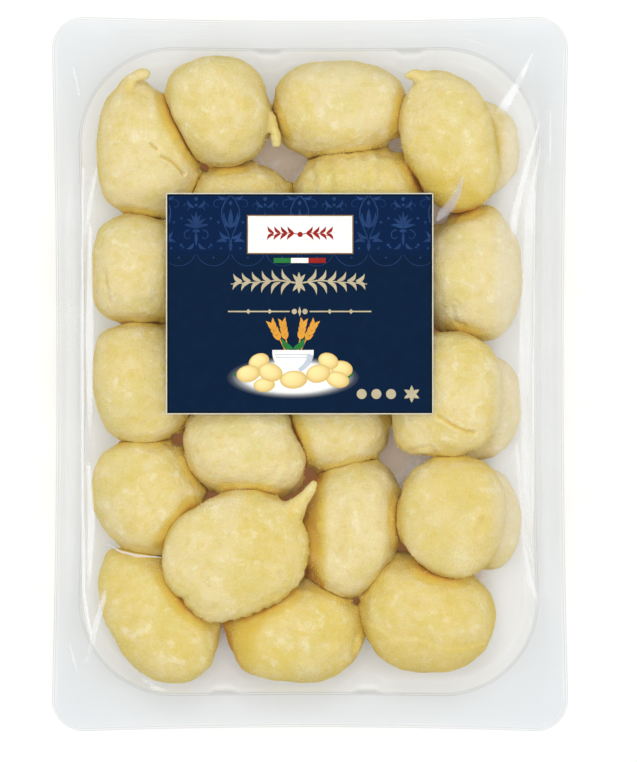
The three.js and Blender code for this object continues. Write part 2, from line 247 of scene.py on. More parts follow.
class Tree:
    """The node tree of a new material."""

    def __init__(self, name):
        self.material = bpy.data.materials.new(name)
        self.material.use_nodes = True
        self.nodes = self.material.node_tree.nodes
        self.links = self.material.node_tree.links
        self.nodes.clear()

    def add(self, kind, sockets=None, **settings):
        """A node with its settings made, and each socket given a value or a link."""
        made = self.nodes.new("ShaderNode" + kind)
        for key, value in settings.items():
            setattr(made, key, value)
        for key, value in (sockets or {}).items():
            if isinstance(value, bpy.types.NodeSocket):
                self.links.new(value, made.inputs[key])
            else:
                made.inputs[key].default_value = value
        return made

    def place(self):
        return self.add("TexCoord").outputs["Object"]

    def split(self, vector):
        """X, Y and Z of a vector."""
        return self.add("SeparateXYZ", {0: vector}).outputs

    def normal(self):
        return self.split(self.add("NewGeometry").outputs["Normal"])

    def stored(self, name):
        """The three values that are kept on the vertices under a name."""
        colour = self.add("Attribute", attribute_name=name).outputs["Color"]
        return self.add("SeparateColor", {"Color": colour}).outputs

    def noise(self, size, detail=2, roughness=0.5):
        """Noise over the object, with bumps about size millimetres across."""
        return self.add("TexNoise", {
            "Vector": self.place(), "Scale": 1 / (size * MM), "Detail": detail, "Roughness": roughness,
        }).outputs["Fac"]

    def ramp(self, factor, low, high, start=0.0, end=1.0):
        """Maps factor from low..high to start..end, smoothly."""
        return self.add("MapRange", {
            "Value": factor, "From Min": low, "From Max": high, "To Min": start, "To Max": end,
        }, interpolation_type="SMOOTHSTEP").outputs["Result"]

    def mix(self, factor, *colours):
        """A mix of two colours: links, screen colours or linear RGBA."""
        first, second = (linear(colour) if isinstance(colour, tuple) and len(colour) == 3 else colour
                         for colour in colours)
        return self.add("Mix", {0: factor, 6: first, 7: second}, data_type="RGBA").outputs[2]

    def math(self, operation, *values):
        return self.add("Math", dict(enumerate(values)), operation=operation).outputs[0]

    def times(self, first, second):
        return self.math("MULTIPLY", first, second)

    def scaled(self, value, factor, start):
        return self.math("MULTIPLY_ADD", value, factor, start)

    def bump(self, height, distance, strength=1.0, onto=None):
        sockets = {"Height": height, "Distance": distance * MM, "Strength": strength}
        if onto is not None:
            sockets["Normal"] = onto
        return self.add("Bump", sockets).outputs["Normal"]

    def finish(self, kind, sockets):
        """Ends the tree with a shader of this kind."""
        self.add("OutputMaterial", {"Surface": self.add(kind, sockets).outputs[0]})
        return self.material


# ---- Materials --------------------------------------------------------------


def dough_material():
    """Soft potato dough: yellow, paler where the film presses it, with painted shade, golden to orange, in
    the gaps, on the flanks and in the cracks.
    """
    tree = Tree("potato_dough")
    pressed, gap_shade, dusted = tree.stored("dough")
    grain = tree.noise(0.5, 2, 0.7)
    scuffs = tree.noise(4.2, 4, 0.6)
    paleness = tree.scaled(tree.ramp(tree.noise(9, 2), 0.38, 0.62), 0.4, pressed)
    paleness = tree.scaled(tree.ramp(tree.noise(2.4, 3), 0.35, 0.65), 0.32, paleness)
    colour = tree.mix(tree.math("SUBTRACT", paleness, 0.03), YELLOW_DOUGH, PALE_DOUGH)
    flank = tree.ramp(tree.normal()["Z"], 0.96, 0.6)
    light_share = tree.times(tree.scaled(flank, 0.26, 0.2), tree.scaled(gap_shade, -0.8, 1))
    for share, layer in (
        (tree.ramp(tree.noise(13, 2), 0.5, 0.66, 0, 0.5), LEMON_DOUGH),
        (tree.ramp(scuffs, 0.47, 0.34, 0, 0.3), GOLDEN_DOUGH),
        (tree.ramp(scuffs, 0.55, 0.7, 0, 0.4), FLOUR),
        # Painted shade: golden, then orange, near the neighbours, on the flanks and feet and in the cracks.
        (tree.ramp(gap_shade, 0, 0.6, 0, 0.9), GOLDEN_DOUGH),
        (tree.ramp(gap_shade, 0.5, 1, 0, 0.75), GAP_SHADE_DOUGH),
        (tree.times(tree.ramp(grain, 0.54, 0.7), light_share), FLOUR),
        (tree.ramp(grain, 0.44, 0.3, 0, 0.2), GOLDEN_DOUGH),
        (tree.times(dusted, tree.ramp(grain, 0.45, 0.6, 0.15, 0.5)), FLOUR),
    ):
        colour = tree.mix(share, colour, layer)
    coarse = tree.bump(tree.noise(1.5, 3, 0.6), 0.45, 0.8)
    return tree.finish("BsdfPrincipled", {
        "Base Color": colour,
        "Roughness": tree.ramp(pressed, 0, 1, 0.62, 0.5),
        "Specular IOR Level": 0.22,
        "Subsurface Weight": 0.35,
        "Subsurface Radius": (1, 0.62, 0.16),
        "Subsurface Scale": 4 * MM,
        "Normal": tree.bump(grain, 0.22, 1, coarse),
    })


def grain_material():
    tree = Tree("semolina")
    return tree.finish("BsdfPrincipled", {
        "Base Color": tree.mix(tree.ramp(tree.noise(1.5), 0.45, 0.8), SEMOLINA, FLOUR),
        "Roughness": 0.4,
        "Subsurface Weight": 0.3,
        "Subsurface Radius": (1, 0.7, 0.35),
        "Subsurface Scale": 0.5 * MM,
    })


MILK = (0.93, 0.93, 0.93, 1)


def clear_material(tree, tint, veil, gloss_roughness, edge_gloss, gloss=0.005, milk=MILK):
    """A clear sheet: light passes straight on, less so at a slant, with a milky veil."""
    slant = tree.add("LayerWeight", {"Blend": 0.5}).outputs["Facing"]
    mirror = tree.scaled(tree.math("POWER", slant, 4), edge_gloss, gloss)
    passing = tree.add("BsdfTransparent", {"Color": tint}).outputs[0]
    milky = tree.add("BsdfDiffuse", {"Color": milk}).outputs[0]
    body = tree.add("MixShader", {0: veil, 1: passing, 2: milky}).outputs[0]
    mirrored = tree.add("BsdfGlossy", {"Roughness": gloss_roughness}).outputs[0]
    return tree.finish("MixShader", {0: mirror, 1: body, 2: mirrored})


# The fallen semolina, which also paints warm bounce light, lies within this reach.
FALLEN_AND_WARMTH_REACH = (57, 85)  # how far along X and Y the fallen semolina lies
# Gaps between the gnocchi that are wide enough to keep the floor pale, without the painted gap shade: x, y
# and radius.
WIDE_GAPS = [(-8, 65, 12), (25, 70, 6), (31, -26, 14), (40, 47, 12)]


def tray_material():
    """Clear formed sheet, greyer on the rim, with fallen semolina on the floor that is peach to paint warm
    bounce light.

    Under the heap, but for the wide gaps, the floor is painted shade: a darker terracotta, as the narrow
    gaps look."""
    tree = Tree("clear_sheet")
    place = tree.place()
    across = tree.split(place)
    rim = tree.ramp(across["Z"], 34 * MM, 36 * MM)
    # Painted shade: the rim is tinted greyer than the floor of the same clear sheet.
    tint = tree.mix(rim, (0.997, 0.999, 1, 1), (0.912, 0.92, 0.925, 1))
    turns = 2 * math.pi / (KNURL_PITCH * MM)
    waves = [tree.math("SINE", tree.times(across[axis], turns)) for axis in (0, 1)]
    raised_dots = tree.ramp(tree.times(*waves), 0.1, 0.9)
    tint = tree.mix(tree.times(raised_dots, rim), tint, (0.935, 0.945, 0.955, 1))
    upwards = tree.math("ABSOLUTE", tree.normal()["Z"])
    # Painted shade: a darker line on the rim where the sheet turns, as a clear edge looks.
    turning_shade = tree.times(tree.ramp(upwards, 0.25, 0.5), tree.ramp(upwards, 0.92, 0.78))
    tint = tree.mix(tree.times(turning_shade, rim), tint, (0.78, 0.785, 0.78, 1))
    # Painted shade: a darker terracotta floor under the heap, but for the wide gaps.
    gap_shade_floor = tree.ramp(across["Z"], 1.6 * MM, 0.9 * MM)
    # Fallen semolina, which also paints warm bounce light on the floor under the heap.
    fallen_and_warmth = tree.times(gap_shade_floor, tree.ramp(tree.noise(7), 0.3, 0.5, 0.6, 1))
    for axis, reach in enumerate(FALLEN_AND_WARMTH_REACH):
        away = tree.math("ABSOLUTE", across[axis])
        fallen_and_warmth = tree.times(fallen_and_warmth, tree.ramp(away, reach * MM, (reach - 8) * MM))
        gap_shade_floor = tree.times(gap_shade_floor, tree.ramp(away, (reach - 6) * MM, (reach - 14) * MM))
    for x, y, radius in WIDE_GAPS:
        middle = (x * MM, y * MM, 0)
        away = tree.add("VectorMath", {0: place, 1: middle}, operation="DISTANCE").outputs["Value"]
        gap_shade_floor = tree.times(gap_shade_floor, tree.ramp(away, (radius - 2) * MM, (radius + 3) * MM))
    milk = tree.mix(fallen_and_warmth, MILK, FALLEN_SEMOLINA_AND_WARMTH)
    milk = tree.mix(gap_shade_floor, milk, GAP_SHADE_TERRACOTTA)
    tint = tree.mix(gap_shade_floor, tint, (1, 0.76, 0.46, 1))
    veil = tree.times(tree.scaled(fallen_and_warmth, 0.3, 0.015), tree.scaled(gap_shade_floor, -0.5, 1))
    return clear_material(tree, tint, veil, 0.08, 0.14, 0.015, milk)


def film_material():
    """Clear sealing film with painted highlights, a whitish veil, along its creases and over the pieces by
    the right wall.
    """
    tree = Tree("clear_film")
    veil = tree.scaled(tree.stored("film")[0], 0.55, 0.002)
    return clear_material(tree, (0.99, 0.994, 0.998, 1), veil, 0.05, 0.2)


def ink_material(name, colour, roughness=0.42, metallic=0.0, variation=0.06, upper=None):
    """Print on the sticker: slightly uneven ink on satin paper.

    upper gives another colour, and the heights along Y between which it takes over."""
    tree = Tree(name)
    darker = tuple(channel * (1 - 2 * variation) for channel in linear(colour)[:3]) + (1,)
    shade = tree.mix(tree.ramp(tree.noise(3, 3), 0.3, 0.7), colour, darker)
    if upper is not None:
        other, low, high = upper
        shade = tree.mix(tree.ramp(tree.split(tree.place())["Y"], low * MM, high * MM), shade, other)
    return tree.finish("BsdfPrincipled", {
        "Base Color": shade,
        "Roughness": roughness,
        "Metallic": metallic,
        "Specular IOR Level": 0.04,
        "Normal": tree.bump(tree.noise(0.35, 2), 0.03, 0.3),
    })


# ---- Tray -------------------------------------------------------------------


def ribbed(x, ribs):
    """How far into a rib of the end wall x lies, from 0 beside it to 1 on its crest."""
    return np.max([1 - smooth_step(RIB_CREST - 1.2, RIB_FOOT + 0.6, abs(x - rib)) for rib in ribs], axis=0)


def ring(shape, grow, z, rib_depth=0.0):
    """Points round a rounded rectangle with bowed sides, at one height, always equally many."""
    corner = shape.corner + grow
    half_x, half_y = shape.half_x + grow, shape.half_y + grow
    parts = []
    for turn, (sign_x, sign_y) in enumerate(CORNERS):
        if turn % 2 == 0:
            s = np.linspace(-1, 1, SIDE_STEPS)
            x = sign_x * (half_x - shape.bow_x * (1 - s * s))
            y = sign_x * s * (half_y - corner)
        else:
            s = np.linspace(1, -1, END_STEPS)
            x = sign_y * s * (half_x - corner)
            ribs = TOP_RIBS if sign_y > 0 else BOTTOM_RIBS
            y = sign_y * (half_y - shape.bow_y * (1 - s * s) - rib_depth * ribbed(x + shape.x, ribs))
        parts.append(np.column_stack([x, y]))
        parts.append(corner_arc(turn, half_x, half_y, corner, np.arange(1, ARC_STEPS) / ARC_STEPS))
    return raised(np.vstack(parts) + (shape.x, shape.y), z)


def quarter(steps):
    """What is left of 1 after the sine and after the cosine, through a quarter turn."""
    angles = np.linspace(0, math.pi / 2, steps + 1)
    return list(zip(1 - np.sin(angles), 1 - np.cos(angles)))


def make_tray():
    """The formed sheet, from under the floor up the outside, over the rim and down inside."""
    def lean(z):
        return -DRAFT * (1 - (z - SHEET) / INNER_DEPTH)

    def wall(z, outwards, rib=1.0):
        return ring(MOUTH, lean(z) + outwards, z, RIB_DEPTH * rib)

    flange = LAND_Z - LAND_STEP
    lip = flange - LIP_DROP
    rib_top = LAND_Z - RIB_TOP
    wall_steps = np.linspace(SHEET + FLOOR_FILLET, rib_top, 7)[1:-1]

    rings = [ring(MOUTH, lean(0) - FLOOR_FILLET - 1, 0, RIB_DEPTH)]
    rings += [wall(FLOOR_FILLET * up, SHEET - FLOOR_FILLET * out) for out, up in quarter(6)]
    rings += [wall(z, SHEET) for z in wall_steps]
    rings += [wall(rib_top + rise, SHEET, rib) for rise, rib in RIB_FADE]
    rings += [ring(MOUTH, SHEET + MOUTH_ROUND * out, LAND_Z - SHEET - MOUTH_ROUND * up)
              for up, out in quarter(3)]
    rings += [ring(MOUTH, LAND_WIDTH - SHEET, LAND_Z - SHEET), ring(MOUTH, LAND_WIDTH, flange - SHEET)]
    rings += [ring(RIM, -SHEET - LIP_ROUND * back, flange - SHEET - LIP_ROUND * down)
              for back, down in quarter(3)]
    rings += [ring(RIM, -SHEET, lip), ring(RIM, 0, lip)]
    rings += [ring(RIM, -LIP_ROUND * back, flange - LIP_ROUND * down)
              for back, down in reversed(quarter(3))]
    rings += [ring(RIM, -2, flange), ring(MOUTH, LAND_WIDTH + SHEET + 1, flange)]
    rings += [ring(MOUTH, LAND_WIDTH + SHEET, flange + 0.04), ring(MOUTH, LAND_WIDTH, LAND_Z - 0.04)]
    rings.append(ring(MOUTH, LAND_WIDTH - 0.4, LAND_Z))
    rings += [ring(MOUTH, MOUTH_ROUND * out, LAND_Z - MOUTH_ROUND * down)
              for down, out in reversed(quarter(4))]
    rings += [wall(rib_top + rise, 0, rib) for rise, rib in reversed(RIB_FADE)]
    rings += [wall(z, 0) for z in reversed(wall_steps)]
    rings += [wall(SHEET + FLOOR_FILLET * up, -FLOOR_FILLET * inwards) for up, inwards in quarter(6)]
    rings.append(ring(MOUTH, lean(SHEET) - FLOOR_FILLET - 1, SHEET, RIB_DEPTH))
    mesh = mesh_from("tray_sheet", *skin(rings))
    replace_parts(add_object(mesh, tray_material()), "tray")


# ---- Gnocchi ----------------------------------------------------------------

VOXEL = 0.64
FINE_VOXEL = 0.46
FINE_PIECES = (1, 11, 19)  # those with the finest marks
# Painted shade: a neighbour within this reach deepens the dough's colour.
CLOSE_REACH = 5.6  # how near a neighbour deepens the colour
FILM_REACH = 2.4  # how far below the film the dough looks pressed
SQUEEZE = 0.45  # share of a narrow gap that each side closes
SQUEEZE_REACH = 3.2
SPREAD = 0.48  # share of a gap that each side closes at its foot, where the dough sinks outwards
SPREAD_REACH = 8
SPREAD_EVEN = 1.3  # distance over which the spreading is evened out
SPREAD_LOW, SPREAD_HIGH = 14, 22  # heights between which the spreading ends
SPREAD_X, SPREAD_Y = (45, 51), (76, 83)  # where it ends along X and Y, short of the walls
SPREAD_TILT = (0.15, 0.5)  # how far the surface faces sideways where it sets in
SPREAD_NEAR = (0.42, 0.85)  # shares of its reach between which it ends
SWELLING = 0.3  # makes up for the corners that smoothing takes off

# Marks in the dough, by gnocco. Plan coordinates, widths and depths in millimetres.
Crease = namedtuple("Crease", "path width depth")  # a groove, or a ridge if depth is negative
Fold = namedtuple("Fold", "path height reach")  # the left side of the path lies higher
Dimple = namedtuple("Dimple", "x y radius depth")  # a hollow, or a bump if depth is negative
Patch = namedtuple("Patch", "path soft amount")  # paler on the left side of the path
# The next mark paints shade on the left side of its path.
ShadeMark = namedtuple("ShadeMark", "path soft amount")  # deeper in colour on the left side of the path
Dust = namedtuple("Dust", "x y radius")
Notch = namedtuple("Notch", "x y radius depth")  # a hollow in the outline, or a corner

# The deeper colour of the cracks is painted shade.
CRACK_DEPTH = 0.8  # creases deeper than this are cracks, with a deeper colour

MARKS = {
    1: [Crease([(-48.3, 69.6), (-46.2, 67.8)], 0.45, 0.9),
        Crease([(-44.7, 65.7), (-41.4, 63.9), (-38, 60.4)], 0.45, 1.1),
        Crease([(-46.5, 67), (-39.5, 64.6), (-35.5, 61.5)], 2.4, -0.25), Dimple(-52.2, 62.4, 1.2, 0.35),
        Patch([(-62, 40), (-56, 66), (-50, 80)], 6, -0.5), ShadeMark([(-62, 40), (-58, 66), (-52, 80)], 5, 0.08),
        Notch(-47.4, 86.4, 4.5, 1.6), Notch(-50, 90, 3, -1.1), Notch(-40.5, 73, 7, -1.2)],
    2: [Notch(-39.5, 73, 7, 1.6), Crease([(-30, 93), (-29.5, 87), (-30.5, 72)], 2.2, -0.3),
        Crease([(-26, 94), (-27, 84), (-25.5, 70)], 2, 0.3), Crease([(-23.5, 84), (-21, 79.5)], 1.2, 0.35),
        Dust(-30, 88, 3.5)],
    3: [Patch([(-6, 92), (-1.2, 86), (3, 76), (16, 74), (30, 70.5)], 1.2, 0.75),
        Fold([(2.7, 76.2), (-1.2, 86.4), (-3.6, 90)], 0.35, 4), Crease([(11, 76), (12, 86)], 2.6, 0.2),
        Crease([(19, 73), (19.5, 85)], 2.6, 0.2), Notch(27.6, 75.5, 6, -0.8)],
    4: [Fold([(29.8, 86.6), (33.3, 88), (37, 89), (44, 88.4)], -0.6, 4),
        Crease([(44.4, 59), (43.2, 53.7), (41, 48.5)], 1.1, 0.5),
        Patch([(56, 57), (38, 65), (28, 67)], 5, -0.7), ShadeMark([(56, 54), (38, 61), (28, 64)], 4, 0.52),
        Dust(43, 76.2, 1.8), Dust(43.6, 55, 2.2), Notch(28.6, 76, 6, 0.9), Notch(31.5, 59, 7, 1.9)],
    5: [Notch(60, 53.5, 6.5, 3)],
    6: [Crease([(-28, 57), (-26, 50)], 1.6, 0.25)],
    7: [Crease([(x, 69), (x + 0.6, 44)], 1.4, 0.55) for x in (0.6, 5.6, 11.8, 16, 21.2)]
       + [Notch(30, 61, 7, -2)],
    8: [Crease([(-62, 30), (-60.3, 21.6)], 0.7, 0.6), Dimple(-57, 36, 2.5, 0.3),
        ShadeMark([(-45, 28), (-50, 12)], 3, 0.3)],
    9: [Crease([(43, 20), (44, 16), (46.5, 14.5)], 0.6, 0.45), Dimple(52, 38, 3, 0.3),
        Dimple(38.5, 30, 8, -2.5), Dust(45, 18, 2.5), Notch(54, 51, 5.5, -1.2),
        Notch(39.4, 46.4, 6.5, 3.4), Notch(37.5, 15, 5, -1.4)],
    10: [Dimple(-48.9, -9.6, 1.4, -0.4), Dimple(-46.5, -11, 1.1, -0.35),
         Crease([(-56, 8), (-55, -2)], 2.2, 0.3), Notch(-62.5, 13, 5, -1.2)],
    11: [Crease([(38.3, -12.6), (42.3, -15), (46.4, -17), (49.3, -17.6)], 0.5, 1.1),
         Fold([(49.3, -17.4), (42.3, -14.8), (38.3, -12.4)], 0.35, 3), Dimple(34, -23.4, 2.4, -0.6),
         Crease([(31, -21.5), (36, -21.6), (38.5, -24)], 0.6, 0.4), Notch(29, -20, 7, -3)],
    13: [Dimple(-58.7, -28, 1.6, 0.4), Crease([(-55, -22), (-57.5, -30)], 1.8, 0.3),
         Crease([(-46, -26), (-42.5, -38)], 3, -0.3)],
    14: [Crease([(-9.6, -28), (-11.5, -31.5)], 0.8, 0.4), Crease([(-22, -12), (-19.5, -30)], 2.4, -0.35),
         Dimple(-26, -18, 2.6, 0.3), Notch(-3.4, -16.5, 6.5, 2.2)],
    15: [Crease([(2, -8), (5, -20)], 2.2, 0.25), Notch(-2.6, -16.5, 6.5, -1.8)],
    16: [Dimple(41, -42, 9, 0.7), Crease([(51.9, -43.5), (50.5, -48)], 1, 0.6),
         Crease([(33.8, -29.5), (29.6, -39.5)], 1.4, -0.3), Patch([(48, -56), (46, -42), (42, -30)], 5, 0.3),
         Notch(30.5, -56.5, 8, 3), Dust(34, -30, 2.6), Dust(46, -55, 4.5)],
    18: [Crease([(14, -28), (13, -44), (14, -60)], 1.8, -0.3), Crease([(8, -30), (6.5, -60)], 2, 0.3),
         Crease([(18.5, -30), (18, -58)], 2, 0.25), Dimple(2.3, -45.3, 0.7, -0.5),
         ShadeMark([(4.6, -62), (4.6, -30)], 2.5, 0.7), Notch(22, -59.5, 6, 1.4), Dust(11.2, -26.6, 1.6)],
    19: [Patch([(-22, -34), (-22.4, -52), (-24, -74)], 2, -0.7), Dimple(-31.1, -61.9, 0.8, 0.6),
         Dimple(-30.8, -63.8, 0.6, 0.5), Notch(-38.2, -67.6, 1.3, 1.1),
         Crease([(-9, -59.5), (-7.5, -62.5)], 0.6, 0.4), Dust(-30, -39, 3), Dust(-22, -38, 2.5)],
    20: [Crease([(-38.5, -75), (-34.5, -79)], 1, 0.35), Crease([(-57, -62), (-54, -80)], 2.6, 0.3),
         Notch(-61, -53.5, 3, -1.8), Notch(-26.5, -84, 6, 2), Notch(-30, -92, 6, 1.8)],
    21: [Fold([(14.4, -79.5), (13.8, -85)], 0.8, 2), Crease([(8.1, -91.5), (6.3, -93.4)], 0.6, 0.4),
         Dust(-8.6, -80.7, 2), Dust(-1.6, -81.3, 1.4), Dust(0.3, -76, 2.4), Dust(-0.6, -89, 3.2),
         Crease([(-1.5, -71), (-2, -88)], 1.6, -0.35), Crease([(5, -72), (5.5, -90)], 1.8, 0.3),
         Notch(-23.5, -84, 7, 2), Notch(-17.5, -92.5, 6, 1.4),
         ShadeMark([(-18, -97), (-17, -82), (-12, -70)], 3, 0.45)],
    22: [Fold([(52, -81), (46.3, -82.9), (41.7, -82.5), (36, -81.3), (31.5, -79.8), (29.1, -79.5),
               (24.6, -80.1), (21, -76.5), (17, -74.5)], 0.4, 5),
         ShadeMark([(53, -81), (36, -81.3), (24.6, -80.1), (16, -74.5)], 0.8, 0.12),
         Dimple(32.6, -66.3, 2.4, 0.35), Notch(31, -57.5, 8, -2.2), Notch(21.5, -62, 5, -1)],
}

# How pale a piece is, where it isn't 0.3: its own tone, and for 5, 12 and 17, low in shade by the right
# wall, painted light as well.
PALE_TONE_AND_PAINTED_LIGHT = {1: 0.9, 3: 0.25, 5: 1, 7: 0.1, 8: 0.5, 9: 0.9, 12: 0.8, 14: 0.6, 15: 0.55, 17: 0.8,
            18: 0.6, 19: 0.75, 20: 0, 21: 0, 22: 0.2}

# How much deeper in colour a whole piece is.
DEEPER_PIECES = {7: 0.05, 16: 0.2, 19: 0.12, 20: 0.06, 21: 0.15, 22: 0.18}

# The thin sliced edge of one piece: a row of small scallops over part of its outline.
SCALLOPS = {19: {"start": -140, "end": 15, "count": 15, "depth": 0.5}}


def bell(plan, mark):
    """1 in the middle of a round mark, falling off over its radius."""
    return np.exp(-(np.linalg.norm(plan - (mark.x, mark.y), axis=1) / mark.radius) ** 2)


def left_side(plan, mark):
    return mark.amount * smooth_step(-mark.soft, mark.soft, on_path(plan, mark.path)[0])


def relief_of(mark, plan):
    """How far a mark lifts each point, in millimetres."""
    if isinstance(mark, Dimple):
        return -mark.depth * bell(plan, mark)
    left = on_path(plan, mark.path)[0]
    if isinstance(mark, Crease):
        away = np.abs(left) / mark.width
        return mark.depth * (0.25 * np.exp(-(away - 2) ** 2) - np.exp(-away ** 2))
    raised_side = smooth_step(-0.5, 0.5, left) * np.exp(-np.maximum(left, 0) / mark.reach)
    sunk = np.exp(-np.abs(left + 0.6) / 0.8) * (left < 0.2)
    return mark.height * (raised_side - 0.5 * sunk)


def scalloped(row, plan):
    """A row of scallops round part of an outline."""
    middle = (plan.min(0) + plan.max(0)) / 2
    turn = np.degrees(np.arctan2(plan[:, 1] - middle[1], plan[:, 0] - middle[0]))
    share = (turn - row["start"]) / (row["end"] - row["start"])
    within = smooth_step(0, 0.1, share) * (1 - smooth_step(0.9, 1, share))
    return row["depth"] * within * (np.abs(np.sin(np.pi * row["count"] * share)) - 0.7)


def fine_copy(node, voxel):
    """A smooth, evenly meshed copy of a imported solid."""
    bm = bmesh.new()
    bm.from_mesh(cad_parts[node].data)
    bmesh.ops.remove_doubles(bm, verts=bm.verts, dist=1e-5)
    mesh = bpy.data.meshes.new(node)
    bm.to_mesh(mesh)
    bm.free()
    holder = bpy.data.objects.new("holder", mesh)
    bpy.context.scene.collection.objects.link(holder)
    for kind, settings in (
        ("SUBSURF", {"levels": 2}),
        ("REMESH", {"mode": "VOXEL", "voxel_size": voxel * MM}),
        ("SMOOTH", {"factor": 0.5, "iterations": 4}),
    ):
        modifier = holder.modifiers.new(kind, kind)
        for key, value in settings.items():
            setattr(modifier, key, value)
    fine = bpy.data.meshes.new_from_object(
        holder.evaluated_get(bpy.context.evaluated_depsgraph_get()))
    bpy.data.objects.remove(holder)
    return fine


def tree_of(meshes):
    """One search tree over several meshes."""
    points, faces = [], []
    for mesh in meshes:
        start = len(points)
        points += [vertex.co.copy() for vertex in mesh.vertices]
        faces += [[start + i for i in face.vertices] for face in mesh.polygons]
    return BVHTree.FromPolygons(points, faces)


def neighbour_gaps(mesh, others):
    """For each vertex, the way in millimetres to the nearest neighbour, and its length."""
    ways = np.zeros((len(mesh.vertices), 3))
    gaps = np.full(len(mesh.vertices), float(CLOSE_REACH))
    for i, vertex in enumerate(mesh.vertices):
        place, _, _, distance = others.find_nearest(vertex.co, CLOSE_REACH * MM)
        if place is not None:
            ways[i] = (place - vertex.co) / MM
            gaps[i] = distance / MM
    return ways, gaps


def evened(mesh, vectors):
    """Vectors on the vertices, averaged again and again with those across the edges."""
    ends = read(mesh.edges, "vertices", 2, int)
    first, second = ends.T
    edge_count = np.bincount(ends.ravel(), minlength=len(vectors))
    for _ in range(round((SPREAD_EVEN / VOXEL) ** 2)):
        for axis in range(3):
            across = np.bincount(first, vectors[second, axis], len(vectors))
            across += np.bincount(second, vectors[first, axis], len(vectors))
            vectors[:, axis] = 0.4 * vectors[:, axis] + 0.6 * across / np.maximum(edge_count, 1)
    return vectors


def foot_spread(mesh, others):
    """For each vertex near the floor, how far it moves sideways towards what it faces."""
    moves = np.zeros((len(mesh.vertices), 3))
    most = np.full(len(mesh.vertices), np.inf)
    for i, (vertex, normal) in enumerate(zip(mesh.vertices, mesh.vertex_normals)):
        aside = Vector((normal.vector.x, normal.vector.y, 0))
        if vertex.co.z > SPREAD_HIGH * MM or aside.length < SPREAD_TILT[0]:
            continue
        facing = smooth_step(*SPREAD_TILT, aside.length)
        low = 1 - smooth_step(SPREAD_LOW, SPREAD_HIGH, vertex.co.z / MM)
        low *= 1 - smooth_step(*SPREAD_X, abs(vertex.co.x) / MM)
        low *= 1 - smooth_step(*SPREAD_Y, abs(vertex.co.y) / MM)
        distance = others.ray_cast(vertex.co, aside.normalized(), SPREAD_REACH * MM)[3]
        if distance is not None:
            near = 1 - smooth_step(*SPREAD_NEAR, distance / (SPREAD_REACH * MM))
            most[i] = SPREAD * distance / MM
            moves[i] = aside.normalized() * (most[i] * near * facing * low)
    moves = evened(mesh, moves)
    length = np.maximum(np.linalg.norm(moves, axis=1), 1e-6)
    return moves * np.minimum(1, most / length)[:, None]


def shaped(mesh, number, ways, gaps, moves):
    """Gives the dough its lumps and marks, and squeezes it against its neighbours."""
    points = read(mesh.vertices, "co", 3) / MM
    normals = read(mesh.vertex_normals, "vector", 3)
    count, plan = len(points), points[:, :2]
    upwards = smooth_step(0.0, 0.45, normals[:, 2])
    sideways = 1 - np.abs(normals[:, 2])
    loose = smooth_step(0.4, 2.4, gaps)
    lift = loose * (SWELLING + 0.8 * (noise_at(points, 11, number) - 0.1))
    lift += loose * 0.36 * noise_at(points, 4.5, number + 40)
    lift += 0.15 * (0.2 + 0.8 * loose) * noise_at(points, 1.6, number + 80)
    pale = np.full(count, PALE_TONE_AND_PAINTED_LIGHT.get(number, 0.3))
    crack_shade = np.zeros(count)
    deepening = np.full(count, DEEPER_PIECES.get(number, 0.0))
    dusted = 0.25 * smooth_step(0.15, 0.6, noise_at(points, 5, number + 120))
    for mark in MARKS.get(number, []):
        if isinstance(mark, (Crease, Fold, Dimple)):
            lift += upwards * relief_of(mark, plan)
        # Painted shade along the cracks.
        if isinstance(mark, Crease) and mark.depth > CRACK_DEPTH:
            away = on_path(plan, mark.path)[0] / mark.width
            crack_shade = np.maximum(crack_shade, 0.55 * np.exp(-2 * away ** 2))
        if isinstance(mark, Notch):
            lift -= mark.depth * bell(plan, mark) * sideways
        if isinstance(mark, Patch):
            pale += left_side(plan, mark)
        # Painted shade on one side of a path.
        if isinstance(mark, ShadeMark):
            deepening += left_side(plan, mark)
        if isinstance(mark, Dust):
            dusted += bell(plan, mark)
    if number in SCALLOPS:
        lift += sideways * scalloped(SCALLOPS[number], plan)
    squeeze = SQUEEZE * (1 - smooth_step(0.5, 1, gaps / SQUEEZE_REACH))
    squeezed = squeeze[:, None] * ways
    move_length = np.linalg.norm(moves, axis=1)
    further = move_length > np.linalg.norm(squeezed, axis=1)
    points = points + lift[:, None] * normals + np.where(further[:, None], moves, squeezed)
    points[:, 2] = np.clip(points[:, 2], SHEET + 0.06, FILM_Z - 0.12)
    # Painted shade: deeper colour where the surface turns away from above and in the cracks, plus the marks
    # and pieces set deeper.
    painted_shade_and_tone = np.maximum(0.35 * (1 - smooth_step(0.05, 0.75, normals[:, 2])), crack_shade) + deepening
    # Painted shade: the feet that spread into the narrow gaps turn deep orange.
    painted_shade_and_tone = np.maximum(painted_shade_and_tone, 0.95 * smooth_step(0.3, 1.6, move_length))
    pressed = (1 - smooth_step(0.3, FILM_REACH, FILM_Z - points[:, 2])) * upwards
    return points, pressed, pale, dusted, painted_shade_and_tone


